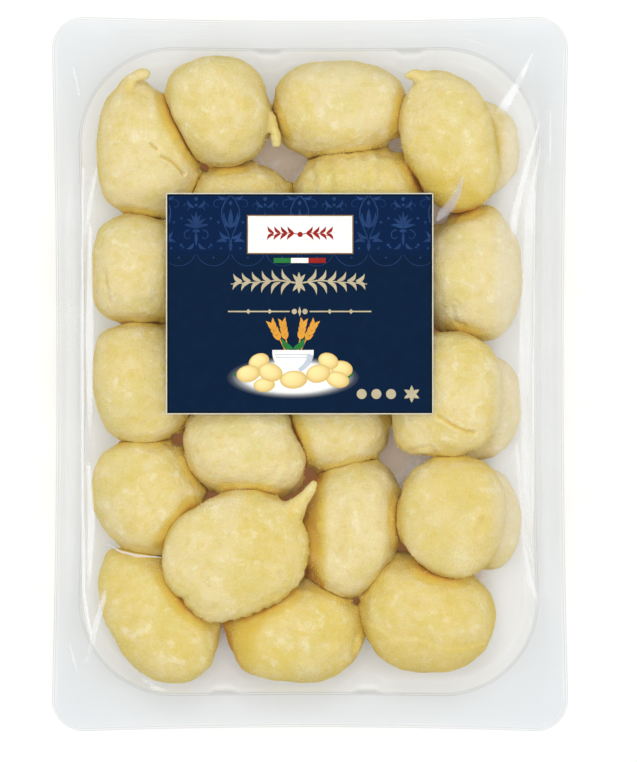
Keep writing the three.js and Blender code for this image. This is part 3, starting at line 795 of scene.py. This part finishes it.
def make_gnocchi():
    """Every gnocco as its own piece; returns the meshes, and the dust on their vertices."""
    nodes = sorted(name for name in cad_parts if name.startswith("gnocco_"))
    boxes = {node: np.array(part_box(node)) for node in nodes}
    fine = {node: fine_copy(node, FINE_VOXEL if number in FINE_PIECES else VOXEL)
            for number, node in enumerate(nodes, start=1)}
    originals = {node: mesh.copy() for node, mesh in fine.items()}
    dough = dough_material()
    dusts = []
    for number, node in enumerate(nodes, start=1):
        mesh = fine[node]
        low, high = boxes[node][0] - SPREAD_REACH * MM, boxes[node][1] + SPREAD_REACH * MM
        near = [other for other in nodes
                if other != node and (boxes[other][0] < high).all() and (boxes[other][1] > low).all()]
        others = tree_of([originals[other] for other in near])
        ways, gaps = neighbour_gaps(mesh, others)
        # Painted shade where a neighbour is near, most where it lies above.
        covered = smooth_step(-0.75, 0.1, ways[:, 2] / np.maximum(gaps, 1e-3))
        gap_shade = (1 - smooth_step(0.6, CLOSE_REACH, gaps)) * covered
        points, pressed, pale, dusted, painted_shade_and_tone = shaped(
            mesh, number, ways, gaps, foot_spread(mesh, others))
        mesh.vertices.foreach_set("co", (points * MM).ravel())
        mesh.polygons.foreach_set("use_smooth", [True] * len(mesh.polygons))
        mesh.update()
        dusts.append(np.clip(dusted, 0, 1))
        pressed = np.clip(0.35 * pressed + pale, 0, 1)
        store(mesh, "dough", pressed, np.clip(np.maximum(gap_shade, painted_shade_and_tone), 0, 1), dusts[-1])
        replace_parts(add_object(mesh, dough, "dough" + node[-3:]), node)
    return list(fine.values()), dusts


GRAINS = 16000
GRAIN_SIZES = (0.09, 0.25)  # half sizes
GRAIN_SEED = 11
GRAIN_FACES = [(0, 2, 4), (2, 1, 4), (1, 3, 4), (3, 0, 4), (2, 0, 5), (1, 2, 5), (3, 1, 5), (0, 3, 5)]


def make_grains(meshes, dusts):
    """Loose semolina sunk half into the dough, as one mesh of small eight-sided grains."""
    random = np.random.default_rng(GRAIN_SEED)
    rows = []
    for mesh, dust in zip(meshes, dusts):
        corner = read(mesh.polygons, "loop_start", 1, int)[:, 0]
        vertex = read(mesh.loops, "vertex_index", 1, int)[corner, 0]
        rows.append(np.column_stack([
            read(mesh.polygons, "center", 3) / MM, read(mesh.polygons, "normal", 3)[:, 2],
            read(mesh.polygons, "area"), dust[vertex]]))
    rows = np.vstack(rows)
    centres, (upwards, areas, dusted) = rows[:, :3], rows[:, 3:].T
    clumps = noise_at(centres, 6, 3)
    weight = areas * (0.25 + smooth_step(-0.1, 0.5, clumps) * 2.2 + 3 * dusted)
    flank = smooth_step(-0.2, 0.3, upwards) * (1 - 0.8 * smooth_step(0.55, 0.95, upwards))
    weight *= 0.1 + flank + 0.25 * dusted
    picked = random.choice(len(centres), GRAINS, replace=False, p=weight / weight.sum())
    middles = centres[picked] + random.uniform(-0.25, 0.25, (GRAINS, 3))
    reach = random.uniform(*GRAIN_SIZES, (GRAINS, 1))
    turned = random.normal(size=(GRAINS, 3, 3))
    axes = np.linalg.qr(turned)[0] * reach[:, :, None] * random.uniform(0.6, 1.2, (GRAINS, 3, 1))
    corners = np.stack([axes, -axes], axis=2).reshape(GRAINS, 6, 3)
    points = (middles[:, None, :] + corners).reshape(-1, 3)
    points[:, 2] = np.clip(points[:, 2], SHEET + 0.02, FILM_Z - 0.04)
    handed = np.linalg.det(axes) < 0
    faces = [tuple(6 * i + corner for corner in ((a, c, b) if handed[i] else (a, b, c)))
             for i in range(GRAINS) for a, b, c in GRAIN_FACES]
    add_object(mesh_from("semolina_grains", points, faces), grain_material())


# ---- Film -------------------------------------------------------------------

FILM_INSET = 1.5
FILM_THICKNESS = 0.1
FILM_STEP = 1.5
FILM_LIFT = 0.03  # over the land, from FILM_Z
FILM_CLEARANCE = 0.05  # over the gnocchi
# Bands of the film inwards from each edge: width, and the step of its mesh.
SIDE_BANDS = [(2.8, 1.1), (11.2, 0.3), (12, 0.6)]
END_BANDS = [(4.1, 1.1), (7.6, 0.45), (24, 0.8)]
SAG = 0.9  # how far the film hangs between what carries it
HELD_BY_LAND = (-3, 0.5)  # distances outwards from the mouth over which the film comes to lie flat
HELD_BY_LABEL = 9  # how far round the label its stiffness is felt
FILM_WAVES = ((22, 0.5), (9, 0.25))  # size and share of the sag
RAY_START = 50  # a height above everything

# Creases of the film: path in plan, half width at each point of it, and whiteness of the painted highlight
# along it.
WRINKLE_RISE = 0.25
WRINKLES = [
    ([(66.9, 96.3), (62, 86.5), (56.6, 77.4)], (0.1, 1.3, 2.0), 1.0),
    ([(69, 75.9), (65.4, 64), (61.4, 47.7), (60.9, 38)], (0.1, 1.0, 1.4, 0.8), 0.8),
    ([(69, 67.5), (66.8, 57), (66, 47.7), (65.6, 38)], (0.1, 1.0, 2.1, 2.0), 0.8),
    ([(66, 47.7), (65.2, 30), (64.6, 14), (64.4, -4), (63.6, -14)], (2.1, 2.0, 2.4, 2.5, 1.6), 0.55),
    ([(67.4, 55), (67.2, 20), (66.9, -12), (66.8, -62)], (0.15, 0.35, 0.4, 0.25), 1.0),
    ([(64.6, 24), (63.8, 4), (65, -34), (66.6, -58)], (0.6, 1.7, 1.3, 0.3), 0.5),
    ([(62, -22), (64, -46), (68, -60)], (0.8, 0.5, 0.2), 0.5),
    ([(63, -44), (66, -62), (69, -70)], (0.2, 1.1, 0.3), 0.45),
    ([(72, 80.7), (72.1, 70), (72, 61.2)], (0.1, 0.3, 0.15), 0.6),
    ([(-64, 62), (-66, 52), (-67.5, 40)], (0.3, 0.9, 0.3), 0.5),
    ([(-66, 44), (-66.2, 10), (-66, -22)], (0.6, 1.5, 0.6), 0.7),
    ([(-66.5, -28), (-65.6, -44), (-66.5, -68)], (0.8, 1.3, 0.4), 0.65),
    ([(-71, 92), (-69, 83)], (0.2, 0.3), 0.7),
    ([(-61.5, -66), (-64.3, -76), (-66.2, -83), (-67.2, -88)], (0.9, 1.1, 0.9, 0.4), 0.45),
    ([(-68.1, 62), (-68.3, 20), (-68.2, -40), (-67.8, -66), (-66.2, -76), (-63.4, -84)],
     (0.35, 0.45, 0.5, 0.55, 0.5, 0.3), 1.0),
    # Painted light over piece 5, which lies in shade under piece 4.
    ([(61.5, 76), (60.8, 60), (60, 46)], (3, 3.6, 3), 0.2),
    ([(-50, -92), (-46, -94.5), (-42, -95)], (0.2, 0.8, 0.2), 0.35),
    ([(-71.8, -82), (-70.8, -86), (-69.2, -90)], (0.2, 0.3, 0.15), 0.5),
    # Painted light over the pieces in shade by the right wall.
    ([(63.5, 80), (62.6, 40), (62.6, 0), (62, -40), (61, -70)], (6, 9, 9, 9, 7), 0.18),
    # A painted reflection of the right wall.
    ([(65.6, 58), (65.8, 30), (65.8, 0), (65.4, -40), (65, -60)], (1.5, 2.6, 2.8, 2.6, 1.6), 0.34),
]

# Folds of the film over a gap, with a painted highlight: path, half widths, and whiteness of the highlight.
FOLDS = {
    "film_fold_highlight_left": ([(-61.8, -50.2), (-57, -53.2), (-51.9, -54.5), (-44.6, -55)],
                       (0.05, 0.34, 0.46, 0.12), 0.17),
    "film_fold_highlight_right": ([(45.8, 59), (44.2, 54), (42.2, 50.6), (39.6, 48), (38, 46)],
                        (0.4, 1.1, 1.6, 1.4, 0.4), 0.08),
}
FOLD_LAYERS = (1, 0.72, 0.44)  # widths of the layers of a fold, for a soft edge
FOLD_STEP = 0.05


def graded(half, bands):
    """Stations from -half to half, closer together in the bands near both ends."""
    outer = [half]
    for width, step in bands:
        outer += list(outer[-1] - np.linspace(0, width, round(width / step) + 1)[1:])
    inner = np.linspace(-outer[-1], outer[-1], round(2 * outer[-1] / FILM_STEP) + 1)[1:-1]
    return np.concatenate([np.negative(outer), inner, outer[::-1]])


def film_heights(plan, carriers):
    """Height of the film's underside over each point of the plan, and its veil of painted highlight."""
    mouth_gap = np.maximum(np.abs(plan[:, 0] - MOUTH.x) - MOUTH.half_x,
                           np.abs(plan[:, 1] - MOUTH.y) - MOUTH.half_y)
    over_land = smooth_step(*HELD_BY_LAND, mouth_gap)
    outside = np.maximum(np.abs(plan - LABEL_MIDDLE[:2]) - LABEL_HALF[:2], 0)
    free = smooth_step(0, HELD_BY_LABEL, np.linalg.norm(outside, axis=1)) * (1 - over_land)
    flat = raised(plan, 0)
    waves = sum(share * noise_at(flat, size, seed) for seed, (size, share) in enumerate(FILM_WAVES, start=5))
    height = FILM_Z + FILM_LIFT - free * SAG * (0.45 + waves)
    veil = np.zeros(len(plan))
    for path, widths, painted_highlight in WRINKLES:
        signed, station = on_path(plan, path)
        half = np.interp(station, range(len(path)), widths)
        profile = np.clip(1 - np.abs(signed) / half, 0, 1)
        fade = 1 - smooth_step(0.75, 1, station / (len(path) - 1))
        height += WRINKLE_RISE * profile * fade
        # Painted highlight: a whitish veil along each crease, fading towards its end.
        veil = np.maximum(veil, painted_highlight * smooth_step(0, 0.5, profile) * fade)
    for i, (x, y) in enumerate(plan):
        hit = carriers.ray_cast(Vector((x * MM, y * MM, RAY_START * MM)), Vector((0, 0, -1)))[0]
        if hit is not None:
            height[i] = max(height[i], hit.z / MM + FILM_CLEARANCE)
    flange_drop = LAND_STEP * smooth_step(LAND_WIDTH + 0.5, LAND_WIDTH + 1.2, mouth_gap)
    height = np.minimum(height, HIGHEST - FILM_THICKNESS)
    return np.where(free > 0, height, FILM_Z + FILM_LIFT - flange_drop), veil


def make_film(meshes):
    """The sealed film: a thin closed sheet that hangs between the land and the gnocchi."""
    half = np.array([RIM.half_x, RIM.half_y]) - FILM_INSET
    inner = half - (RIM.corner - FILM_INSET)
    xs, ys = graded(half[0], SIDE_BANDS), graded(half[1], END_BANDS)
    grid = np.array([(x, y) for y in ys for x in xs])
    share = np.clip(np.abs(grid) / inner, 0, 1)
    grid = grid * (1 - np.array([RIM.bow_x, RIM.bow_y]) * (1 - share[:, ::-1] ** 2) / half)
    beyond = np.maximum(np.abs(grid) - inner, 0)
    length = np.linalg.norm(beyond, axis=1)
    squeeze = np.where(beyond.min(1) > 0, beyond.max(1) / np.maximum(length, 1e-9), 1)
    grid = np.sign(grid) * (np.minimum(np.abs(grid), inner) + beyond * squeeze[:, None])
    height, veil = film_heights(grid, tree_of(meshes))
    count, columns = len(grid), len(xs)
    under = np.column_stack([grid, height])
    faces = []
    for near in range(count - columns):
        if near % columns < columns - 1:
            corners = (near, near + 1, near + columns + 1, near + columns)
            faces += [tuple(count + i for i in corners), corners[::-1]]
    indices = np.arange(count).reshape(len(ys), columns)
    edge = [*indices[0], *indices[1:, -1], *indices[-1, -2::-1], *indices[-2:0:-1, 0]]
    faces += [(near, after, count + after, count + near) for near, after in zip(edge, edge[1:] + edge[:1])]
    mesh = mesh_from("sealing_film", np.vstack([under, under + (0, 0, FILM_THICKNESS)]), faces)
    store(mesh, "film", np.tile(veil, 2))
    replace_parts(add_object(mesh, film_material()), "lid_film")


def make_folds():
    """Folds of the film over the gap between two gnocchi, painted whitish as a highlight."""
    for name, (corners, widths, painted_highlight) in FOLDS.items():
        stations = np.linspace(0, len(corners) - 1, 25)
        turning_points = range(len(corners))
        path = np.column_stack([np.interp(stations, turning_points, line) for line in zip(*corners)])
        half = np.interp(stations, turning_points, widths)
        layers = []
        for step, share in enumerate(reversed(FOLD_LAYERS)):
            top = HIGHEST - FOLD_STEP * step
            layers.append(plate(ribbon(path, share * half), top - 0.8 * FOLD_STEP, top))
        material = clear_material(Tree(name), (0.99, 0.98, 0.98, 1), painted_highlight, 0.1, 0.2)
        add_object(mesh_from(name, *joined(layers), smooth=False), material)


# ---- Label ------------------------------------------------------------------

LABEL_LOW, LABEL_HIGH = (np.array(corner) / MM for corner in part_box("label"))
LABEL_MIDDLE = (LABEL_LOW + LABEL_HIGH) / 2
LABEL_HALF = (LABEL_HIGH - LABEL_LOW) / 2
STICKER = 0.16  # thickness of the paper
INK = 0.02  # thickness of each layer of print
STAGGER, STAGGER_STEPS = 0.0014, 11  # shapes that cross in one layer differ a little in height
PAPER_EDGE = 0.35
FRAME_WIDTH = 0.45
MOTIF_PITCH = 10.35
BAND_LOW, BAND_HIGH = 14.2, 32.6
PICTURE_X = -2
RULE_Y = -2.35
CORNER_MARKS_Y = -27.1


def leaf(base, tip, width, bend=0.0, steps=8):
    """A pointed leaf from base to tip, curved sideways by bend."""
    base, along = np.array(base, float), np.subtract(tip, base)
    side = np.array([-along[1], along[0]])
    share = np.linspace(0, 1, steps + 1)
    spine = base + share[:, None] * along + (bend * np.sin(np.pi * share))[:, None] * side
    half = (width / 2 * np.sin(np.pi * share ** 0.8))[:, None] * side / np.linalg.norm(side)
    return np.vstack([spine + half, (spine - half)[-2:0:-1]])


def rays(x, y, length, width, angles):
    """Straight leaves out of one point, at these angles in degrees."""
    return [leaf((x, y), (x + length * math.cos(a), y + length * math.sin(a)), width)
            for a in np.radians(angles)]


def oval(x, y, half_x, half_y, turn=0.0, steps=24):
    angles = np.linspace(0, 2 * np.pi, steps, endpoint=False)
    flat = np.column_stack([half_x * np.cos(angles), half_y * np.sin(angles)])
    cosine, sine = math.cos(math.radians(turn)), math.sin(math.radians(turn))
    return flat @ np.array([[cosine, sine], [-sine, cosine]]) + (x, y)


def dot(x, y, radius, steps=10):
    return oval(x, y, radius, radius, steps=steps)


def stroke(path, width, end_width=None):
    """A drawn line along a path, whose width may change towards its end."""
    path = np.array(path, float)
    return ribbon(path, np.linspace(width, width if end_width is None else end_width, len(path)) / 2)


def arc_path(x, y, radius, start, end, end_radius=None, steps=14):
    """Points on an arc, or on a spiral if the radius changes, angles in degrees."""
    angles = np.radians(np.linspace(start, end, steps))
    radii = np.linspace(radius, radius if end_radius is None else end_radius, steps)
    return np.column_stack([x + radii * np.cos(angles), y + radii * np.sin(angles)])


def mirrored(shapes):
    return shapes + [shape * (-1, 1) for shape in shapes]


def moved(shapes, x, y=0):
    return [np.asarray(shape) + (x, y) for shape in shapes]


def box_shape(x, y, far_x, far_y):
    return np.array([(x, y), (far_x, y), (far_x, far_y), (x, far_y)])


def rounded_box(half_x, half_y, corner):
    shares = np.linspace(0, 1, 5)
    return np.vstack([corner_arc(turn, half_x, half_y, corner, shares) for turn in range(4)])


def layer_heights(layer, number):
    """Bottom and top of the shape with this number in a layer of print."""
    low = LABEL_LOW[2] + STICKER + INK * (layer - 1)
    return low, low + INK - STAGGER * (number % STAGGER_STEPS)


def printed(name, shapes, layer, material):
    """Flat shapes on the label, as thin closed plates that stand on the layer below."""
    plates = [plate(shape + LABEL_MIDDLE[:2], *layer_heights(layer, number))
              for number, shape in enumerate(shapes)]
    add_object(mesh_from(name, *joined(plates), smooth=False), material)


def lily_motif():
    """One of two damask motifs: a lily inside a pointed frame of two stems."""
    stem = [(0, 8.6), (-1.6, 6.8), (-2.6, 4.4), (-2.7, 2), (-1.8, -0.6), (-0.6, -3.4), (0, -6)]
    half = [
        stroke(stem, 0.42, 0.3),
        leaf((-0.3, -1.2), (-2.0, 3.4), 1.3, 0.16),
        leaf((-0.2, -4.4), (-3.4, -2.2), 1.2, 0.2),
        leaf((-1.0, -5.4), (-4.4, -5.6), 1.0, -0.15),
        leaf((-1.2, 7.6), (-3.8, 8.4), 0.9, 0.2),
        stroke(arc_path(-4.0, 5.8, 1.5, 60, 300, 0.7), 0.2, 0.12),
        dot(-3.7, 0.4, 0.4),
        dot(-2.9, -7.4, 0.35),
    ]
    centre = [leaf((0, -1.6), (0, 4.6), 1.5), oval(0, 6.2, 0.5, 0.7, steps=12),
              leaf((0, -5.4), (0, -8.4), 1.1)]
    return mirrored(half) + centre


def fan_motif():
    """The other damask motif: a fan of leaves over a scrolled foot."""
    half = [leaf((0, -1.4), (3.9 * math.sin(a), -1.4 + 4.6 * math.cos(a)), 1.0, -0.1)
            for a in np.radians([-24, -50, -78])]
    half += [
        stroke(arc_path(-2.3, -3.6, 1.7, 80, 330, 0.6), 0.34, 0.2),
        stroke(arc_path(-3.1, 5.2, 1.2, -70, 210, 0.45), 0.22, 0.14),
        leaf((-0.5, 4.8), (-2.6, 7.2), 0.9, 0.18),
        leaf((-0.7, -5.8), (-3.1, -7.6), 0.9, 0.2),
        dot(-4.4, 1.6, 0.38),
        dot(-4.5, -6.4, 0.45),
        dot(-3.9, -7.1, 0.35),
    ]
    centre = [leaf((0, -1.4), (0, 3.8), 1.1), oval(0, -2.2, 1.1, 0.5, steps=14),
              leaf((0, -2.6), (0, -6.8), 0.9), dot(0, 5.6, 0.45), dot(0, 7.4, 0.6)]
    return mirrored(half) + centre


def clipped(shapes, half_x, half_y):
    """The shapes kept inside a rectangle; a shape that would leave it is cut at its edge."""
    kept = []
    for shape in shapes:
        cut = [tuple(point) for point in shape]
        for axis, limit, sign in ((0, half_x, 1), (0, half_x, -1), (1, half_y, 1), (1, half_y, -1)):
            rest = []
            for here, after in zip(cut, cut[1:] + cut[:1]):
                gap, next_gap = limit + sign * here[axis], limit + sign * after[axis]
                if gap >= 0:
                    rest.append(here)
                if (gap >= 0) != (next_gap >= 0):
                    share = gap / (gap - next_gap)
                    rest.append(tuple(h + share * (a - h) for h, a in zip(here, after)))
            cut = rest
        if len(cut) > 2:
            kept.append(np.array(cut))
    return kept


def make_damask(material):
    """A band of two motifs in turn, over a row of hanging arcs."""
    shapes = []
    for step in range(-4, 5):
        motif = lily_motif() if step % 2 == 0 else fan_motif()
        shapes += moved(motif, step * MOTIF_PITCH, (BAND_LOW + BAND_HIGH) / 2 + 0.6)
        between = (step + 0.5) * MOTIF_PITCH
        hanging = arc_path(between, BAND_LOW + 2.3, MOTIF_PITCH / 2, 200, 340)
        shapes += [stroke(hanging, 0.18), dot(between, BAND_LOW - 0.4, 0.3, steps=8)]
    inside = LABEL_HALF[:2] - (PAPER_EDGE + FRAME_WIDTH + 0.05)
    printed("label_damask", clipped(shapes, *inside), 2, material)


def make_frame(black):
    """A thin dark frame just inside the paper's edge."""
    half_x, half_y = LABEL_HALF[:2] - PAPER_EDGE
    inner_x, inner_y = half_x - FRAME_WIDTH, half_y - FRAME_WIDTH
    bars = [box_shape(-half_x, sign * inner_y, half_x, sign * half_y) for sign in (1, -1)]
    bars += [box_shape(sign * inner_x, -inner_y, sign * half_x, inner_y) for sign in (1, -1)]
    printed("label_frame", bars, 2, black)


def make_plaque(ivory, bronze, wine, green):
    """A bordered ivory plaque with a plain sprig, over a short striped bar."""
    low_x, low_y, high_x, high_y = -15.8, 14.9, 16.1, 26.6
    edge = 0.35
    inside = box_shape(low_x + edge, low_y + edge, high_x - edge, high_y - edge)
    printed("label_plaque_border", [box_shape(low_x, low_y, high_x, high_y)], 3, bronze)
    printed("label_plaque", [inside], 4, ivory)
    sprig = [stroke([(0, 0), (3, 0.5), (6, 0.2), (9.5, -0.6)], 0.3, 0.15)]
    for x in (1.8, 3.8, 5.8, 7.8):
        sprig += [leaf((x, 0.4), (x + 2.0, 2.5), 0.95, -0.15), leaf((x, 0.3), (x + 2.2, -1.7), 0.95, 0.15)]
    both = mirrored(sprig) + [oval(0, 0, 0.8, 0.8)]
    printed("label_sprig", moved(both, (low_x + high_x) / 2, (low_y + high_y) / 2), 5, wine)
    bar_y, bar_height, third = 12.2, 1.5, 5.2
    for name, step, ink in (("green", -1, green), ("white", 0, ivory), ("red", 1, wine)):
        left = step * third - third / 2
        printed("label_bar_" + name, [box_shape(left, bar_y, left + third, bar_y + bar_height)], 3, ink)


def make_gold_ornament(gold):
    """A garland in the main line, a ruled line below it, and dots in the lower corner."""
    half = [stroke([(1.2, 0), (6, 0.7), (12, 0.2), (20.4, -0.4)], 0.5, 0.25)]
    for i, x in enumerate((2.4, 5.4, 8.4, 11.4, 14.4, 17)):
        rise = 3.9 - 0.3 * i
        half += [leaf((x, 0.5), (x + 2.7, rise + 0.3), 1.15, -0.2),
                 leaf((x, 0.3), (x + 2.9, 0.2 - rise), 1.15, 0.2)]
    garland = mirrored(half) + [oval(0, 0, 1.1, 1.1)] + rays(0, 0, 3.2, 1.0, [54, 90, 126, 234, 270, 306])
    rule = []
    for sign in (-1, 1):
        rule.append(box_shape(sign * 3, -0.2, sign * 21.5, 0.2))
        rule += [dot(sign * x, 0, 0.75, steps=4) for x in (9, 15.4)]
    rule += [dot(x, 0, 0.8, steps=14) for x in (-1.6, 1.6)] + [oval(0, 0, 0.5, 1.5, steps=4)]
    corner = [dot(x, 0, 1.5, steps=24) for x in (18.6, 23, 27.4)]
    corner += rays(33.6, 0, 2.6, 1.2, [30, 90, 150, 210, 270, 330])
    shapes = moved(garland, -0.2, 6.3) + moved(rule, 0, RULE_Y) + moved(corner, 0, CORNER_MARKS_Y)
    printed("label_gold", shapes, 3, gold)


def make_picture(inks):
    """A small still life of plain shapes: a bowl between potatoes, with ears of wheat."""
    ears = []
    for sign, lean in ((-1, 16), (1, 16), (-1, 34), (1, 34)):
        lean = math.radians(lean)
        base = np.array((sign, -17))
        tip = np.array((sign * 10.75 * math.sin(lean), -9.2 + 2.8 * math.cos(lean)))
        ears.append(stroke([base, (base + tip) / 2 + (0, 0.4), tip], 0.35))
        along = complex(*(tip - base))
        for share in (0.6, 0.74, 0.88, 1.0):
            at = base + share * (tip - base)
            for turn in (-0.45, 0.45):
                heading = 0.24 * along * complex(math.cos(turn), math.sin(turn))
                ears.append(leaf(at, at + (heading.real, heading.imag), 0.95))
    printed("label_wheat", moved(ears, PICTURE_X), 4, inks["ochre"])
    bowl = np.vstack([arc_path(0, -14.6, 6.2, 180, 360, steps=24), [(6.2, -13.9), (-6.2, -13.9)]])
    printed("label_bowl", moved([bowl], PICTURE_X), 5, inks["ivory"])
    shade = np.vstack([arc_path(0, -14.6, 6.2, 290, 352, steps=12),
                       arc_path(-1.4, -14.4, 5.8, 350, 300, steps=12)])
    bands = [box_shape(-5.4, -15.4, 5.4, -15.15), box_shape(-5.1, -16.2, 5.1, -15.95)]
    printed("label_bowl_shade", moved([shade] + bands, PICTURE_X), 6, inks["bowl"])
    back_row = [(-12.2, -17.4, 3.2, 2.4, 24), (8.6, -17.2, 3.1, 2.4, -20), (12.6, -19.6, 3.3, 2.5, -8)]
    front_row = [(-15.4, -21, 3.6, 2.5, 10), (-8.8, -20.6, 3.7, 2.7, -14), (5.6, -21, 3.7, 2.7, 14),
                 (11.4, -22.8, 3.5, 2.4, -12), (-1.8, -22.8, 4.1, 2.7, 4), (-10.6, -24.4, 3.2, 2.1, 6)]
    make_shaded("label_potatoes_back", back_row, ROUND_RINGS, 6, CREAM_SHADE, CREAM)
    make_shaded("label_potatoes", front_row, ROUND_RINGS, 7, CREAM_SHADE, CREAM)
    leaves = [leaf((-2, -13.6), (-5.4, -10.4), 1.8, 0.15), leaf((-2, -13.6), (1.6, -10.2), 1.8, -0.15),
              leaf((13.4, -22.8), (16.4, -21.4), 1.5, 0.2), leaf((-17.6, -22.6), (-20.2, -21.2), 1.4, -0.2)]
    printed("label_leaves", leaves, 5, inks["green"])


# Rings of a shaded oval, from its edge to its middle: size, brightness, and shift to the light.
GLOW_RINGS = [(1.0, 0.0, 0), (0.92, 0.06, 0), (0.82, 0.3, 0), (0.72, 0.8, 0), (0.6, 1.0, 0), (0.3, 1.0, 0)]
ROUND_RINGS = [(1.0, 0.0, 0), (0.9, 0.25, 0.03), (0.74, 0.6, 0.1), (0.5, 0.85, 0.2), (0.22, 1.0, 0.3)]
OVAL_STEPS = 40


def make_shaded(name, ovals, rings, layer, dark, bright):
    """Ovals on the label that go from a dark edge to a bright middle."""
    tree = Tree(name)
    material = tree.finish("BsdfPrincipled", {
        "Base Color": tree.mix(tree.stored("shade")[0], dark, bright),
        "Roughness": 0.42,
        "Specular IOR Level": 0.04,
    })
    parts, values = [], []
    for number, (x, y, half_x, half_y, turn) in enumerate(ovals):
        low, high = layer_heights(layer, number)
        levels = []
        for (size, value, shift), z in zip(rings[:1] + rings, [low] + [high] * len(rings)):
            middle = LABEL_MIDDLE[:2] + (x - shift * half_x, y + shift * half_y)
            levels.append(raised(oval(*middle, half_x * size, half_y * size, turn, OVAL_STEPS), z))
            values += [value] * OVAL_STEPS
        parts.append(skin(levels))
    mesh = mesh_from(name, *joined(parts), smooth=False)
    store(mesh, "shade", values)
    add_object(mesh, material)


def make_label():
    """The sticker: a paper plate, its navy print, and the ornament on it."""
    half_x, half_y = LABEL_HALF[:2]
    sheet = plate(rounded_box(half_x, half_y, 0.5) + LABEL_MIDDLE[:2], LABEL_LOW[2], LABEL_LOW[2] + STICKER)
    mesh = mesh_from("label_paper", *sheet, smooth=False)
    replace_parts(add_object(mesh, ink_material("paper", PAPER, 0.5)), "label")
    band_from = LABEL_MIDDLE[1] + BAND_LOW - 2
    navy = ink_material("navy_ink", NAVY, 0.45, upper=(BAND_NAVY, band_from, band_from + 5))
    printed("label_field", [rounded_box(half_x - PAPER_EDGE, half_y - PAPER_EDGE, 0.4)], 1, navy)
    make_frame(ink_material("black_ink", FRAME_BLACK, 0.45))
    inks = {name: ink_material(name + "_ink", colour) for name, colour in (
        ("ivory", IVORY), ("wine", WINE), ("green", LEAF_GREEN), ("ochre", OCHRE), ("bowl", BOWL_SHADE))}
    bronze = ink_material("bronze_ink", BRONZE, metallic=0.4)
    make_damask(ink_material("blue_ink", DAMASK_BLUE, 0.38, variation=0.15))
    make_plaque(inks["ivory"], bronze, inks["wine"], inks["green"])
    make_gold_ornament(ink_material("gold_ink", GOLD, 0.35, metallic=0.3))
    make_shaded("label_glow", [(PICTURE_X, -22.2, 20, 6.4, 0)], GLOW_RINGS, 2, NAVY, IVORY)
    make_picture(inks)


# ---- Stage, lights and camera -----------------------------------------------

CAMERA_HEIGHT = 2000  # above the film
FRAME_LONG = 228.6  # the long side of the view, at the height of the film
CAMERA_X, CAMERA_Y = 2.55, -2.1
SENSOR = 36
FLOOR_HALF = 4000
FLOOR_Z = -0.1
FLOOR_GLOW = 0.14
WORLD_COLOUR = (0.99, 1, 1.015, 1)
WORLD_STRENGTH = 0.505
LIGHT_TARGET = (0, 0, 20)
LIGHTS = {  # place, power in watts, width and length
    "overhead": ((0, 0, 2500), 17.4, 1200, 1200),
    "top_far": ((0, 620, 1400), 3.5, 700, 400),
    "top_near": ((0, -620, 1400), 1.2, 700, 400),
    "top_left": ((-620, 0, 1400), 1.2, 400, 700),
    "top_right": ((620, 0, 1400), 1.2, 400, 700),
    "strip_right": ((900, 0, 700), 1.65, 160, 1100),
    "strip_left": ((-900, 0, 700), 1.55, 160, 1100),
}


def make_stage():
    """A pale floor under the pack, lit softly from within as a light table is."""
    tree = Tree("floor")
    shades = (0.835, 0.835, 0.835, 1), (0.825, 0.825, 0.825, 1)
    material = tree.finish("BsdfPrincipled", {
        "Base Color": tree.mix(tree.ramp(tree.noise(60, 2), 0.3, 0.7), *shades),
        "Roughness": 0.8,
        "Specular IOR Level": 0.1,
        "Emission Color": (1, 1, 1, 1),
        "Emission Strength": FLOOR_GLOW,
    })
    square = raised(np.array(CORNERS) * FLOOR_HALF, FLOOR_Z)
    mesh = mesh_from("floor", square, [(0, 1, 2, 3)], smooth=False)
    mesh.materials.append(material)
    floor = bpy.data.objects.new("floor", mesh)
    bpy.context.scene.collection.objects.link(floor)


def make_lights():
    world = bpy.data.worlds.new("studio")
    bpy.context.scene.world = world
    world.use_nodes = True
    background = world.node_tree.nodes["Background"]
    background.inputs["Color"].default_value = WORLD_COLOUR
    background.inputs["Strength"].default_value = WORLD_STRENGTH
    for name, (place, power, width, length) in LIGHTS.items():
        lamp = bpy.data.lights.new(name, "AREA")
        lamp.shape = "RECTANGLE"
        lamp.size, lamp.size_y = width * MM, length * MM
        lamp.energy = power
        holder = bpy.data.objects.new(name, lamp)
        holder.location = Vector(place) * MM
        holder.rotation_euler = (Vector(LIGHT_TARGET) - Vector(place)).to_track_quat("-Z", "Y").to_euler()
        holder.visible_camera = False
        holder.visible_glossy = name != "overhead"
        bpy.context.scene.collection.objects.link(holder)


def make_camera():
    scene = bpy.context.scene
    lens = bpy.data.cameras.new("camera")
    lens.sensor_width = SENSOR
    lens.lens = SENSOR * CAMERA_HEIGHT / FRAME_LONG
    lens.clip_start, lens.clip_end = 0.05, 20
    camera = bpy.data.objects.new("camera", lens)
    camera.location = Vector((CAMERA_X, CAMERA_Y, LAND_Z + CAMERA_HEIGHT)) * MM
    scene.collection.objects.link(camera)
    scene.camera = camera
    scene.view_settings.view_transform = "Standard"
    scene.cycles.transparent_max_bounces = 12
    scene.cycles.max_bounces = 6
    scene.cycles.diffuse_bounces = 4
    scene.cycles.glossy_bounces = 2
    scene.cycles.caustics_reflective = False


make_camera()
make_stage()
make_lights()
make_tray()
gnocchi, dusts = make_gnocchi()
make_grains(gnocchi, dusts)
make_film(gnocchi)
make_folds()
make_label()
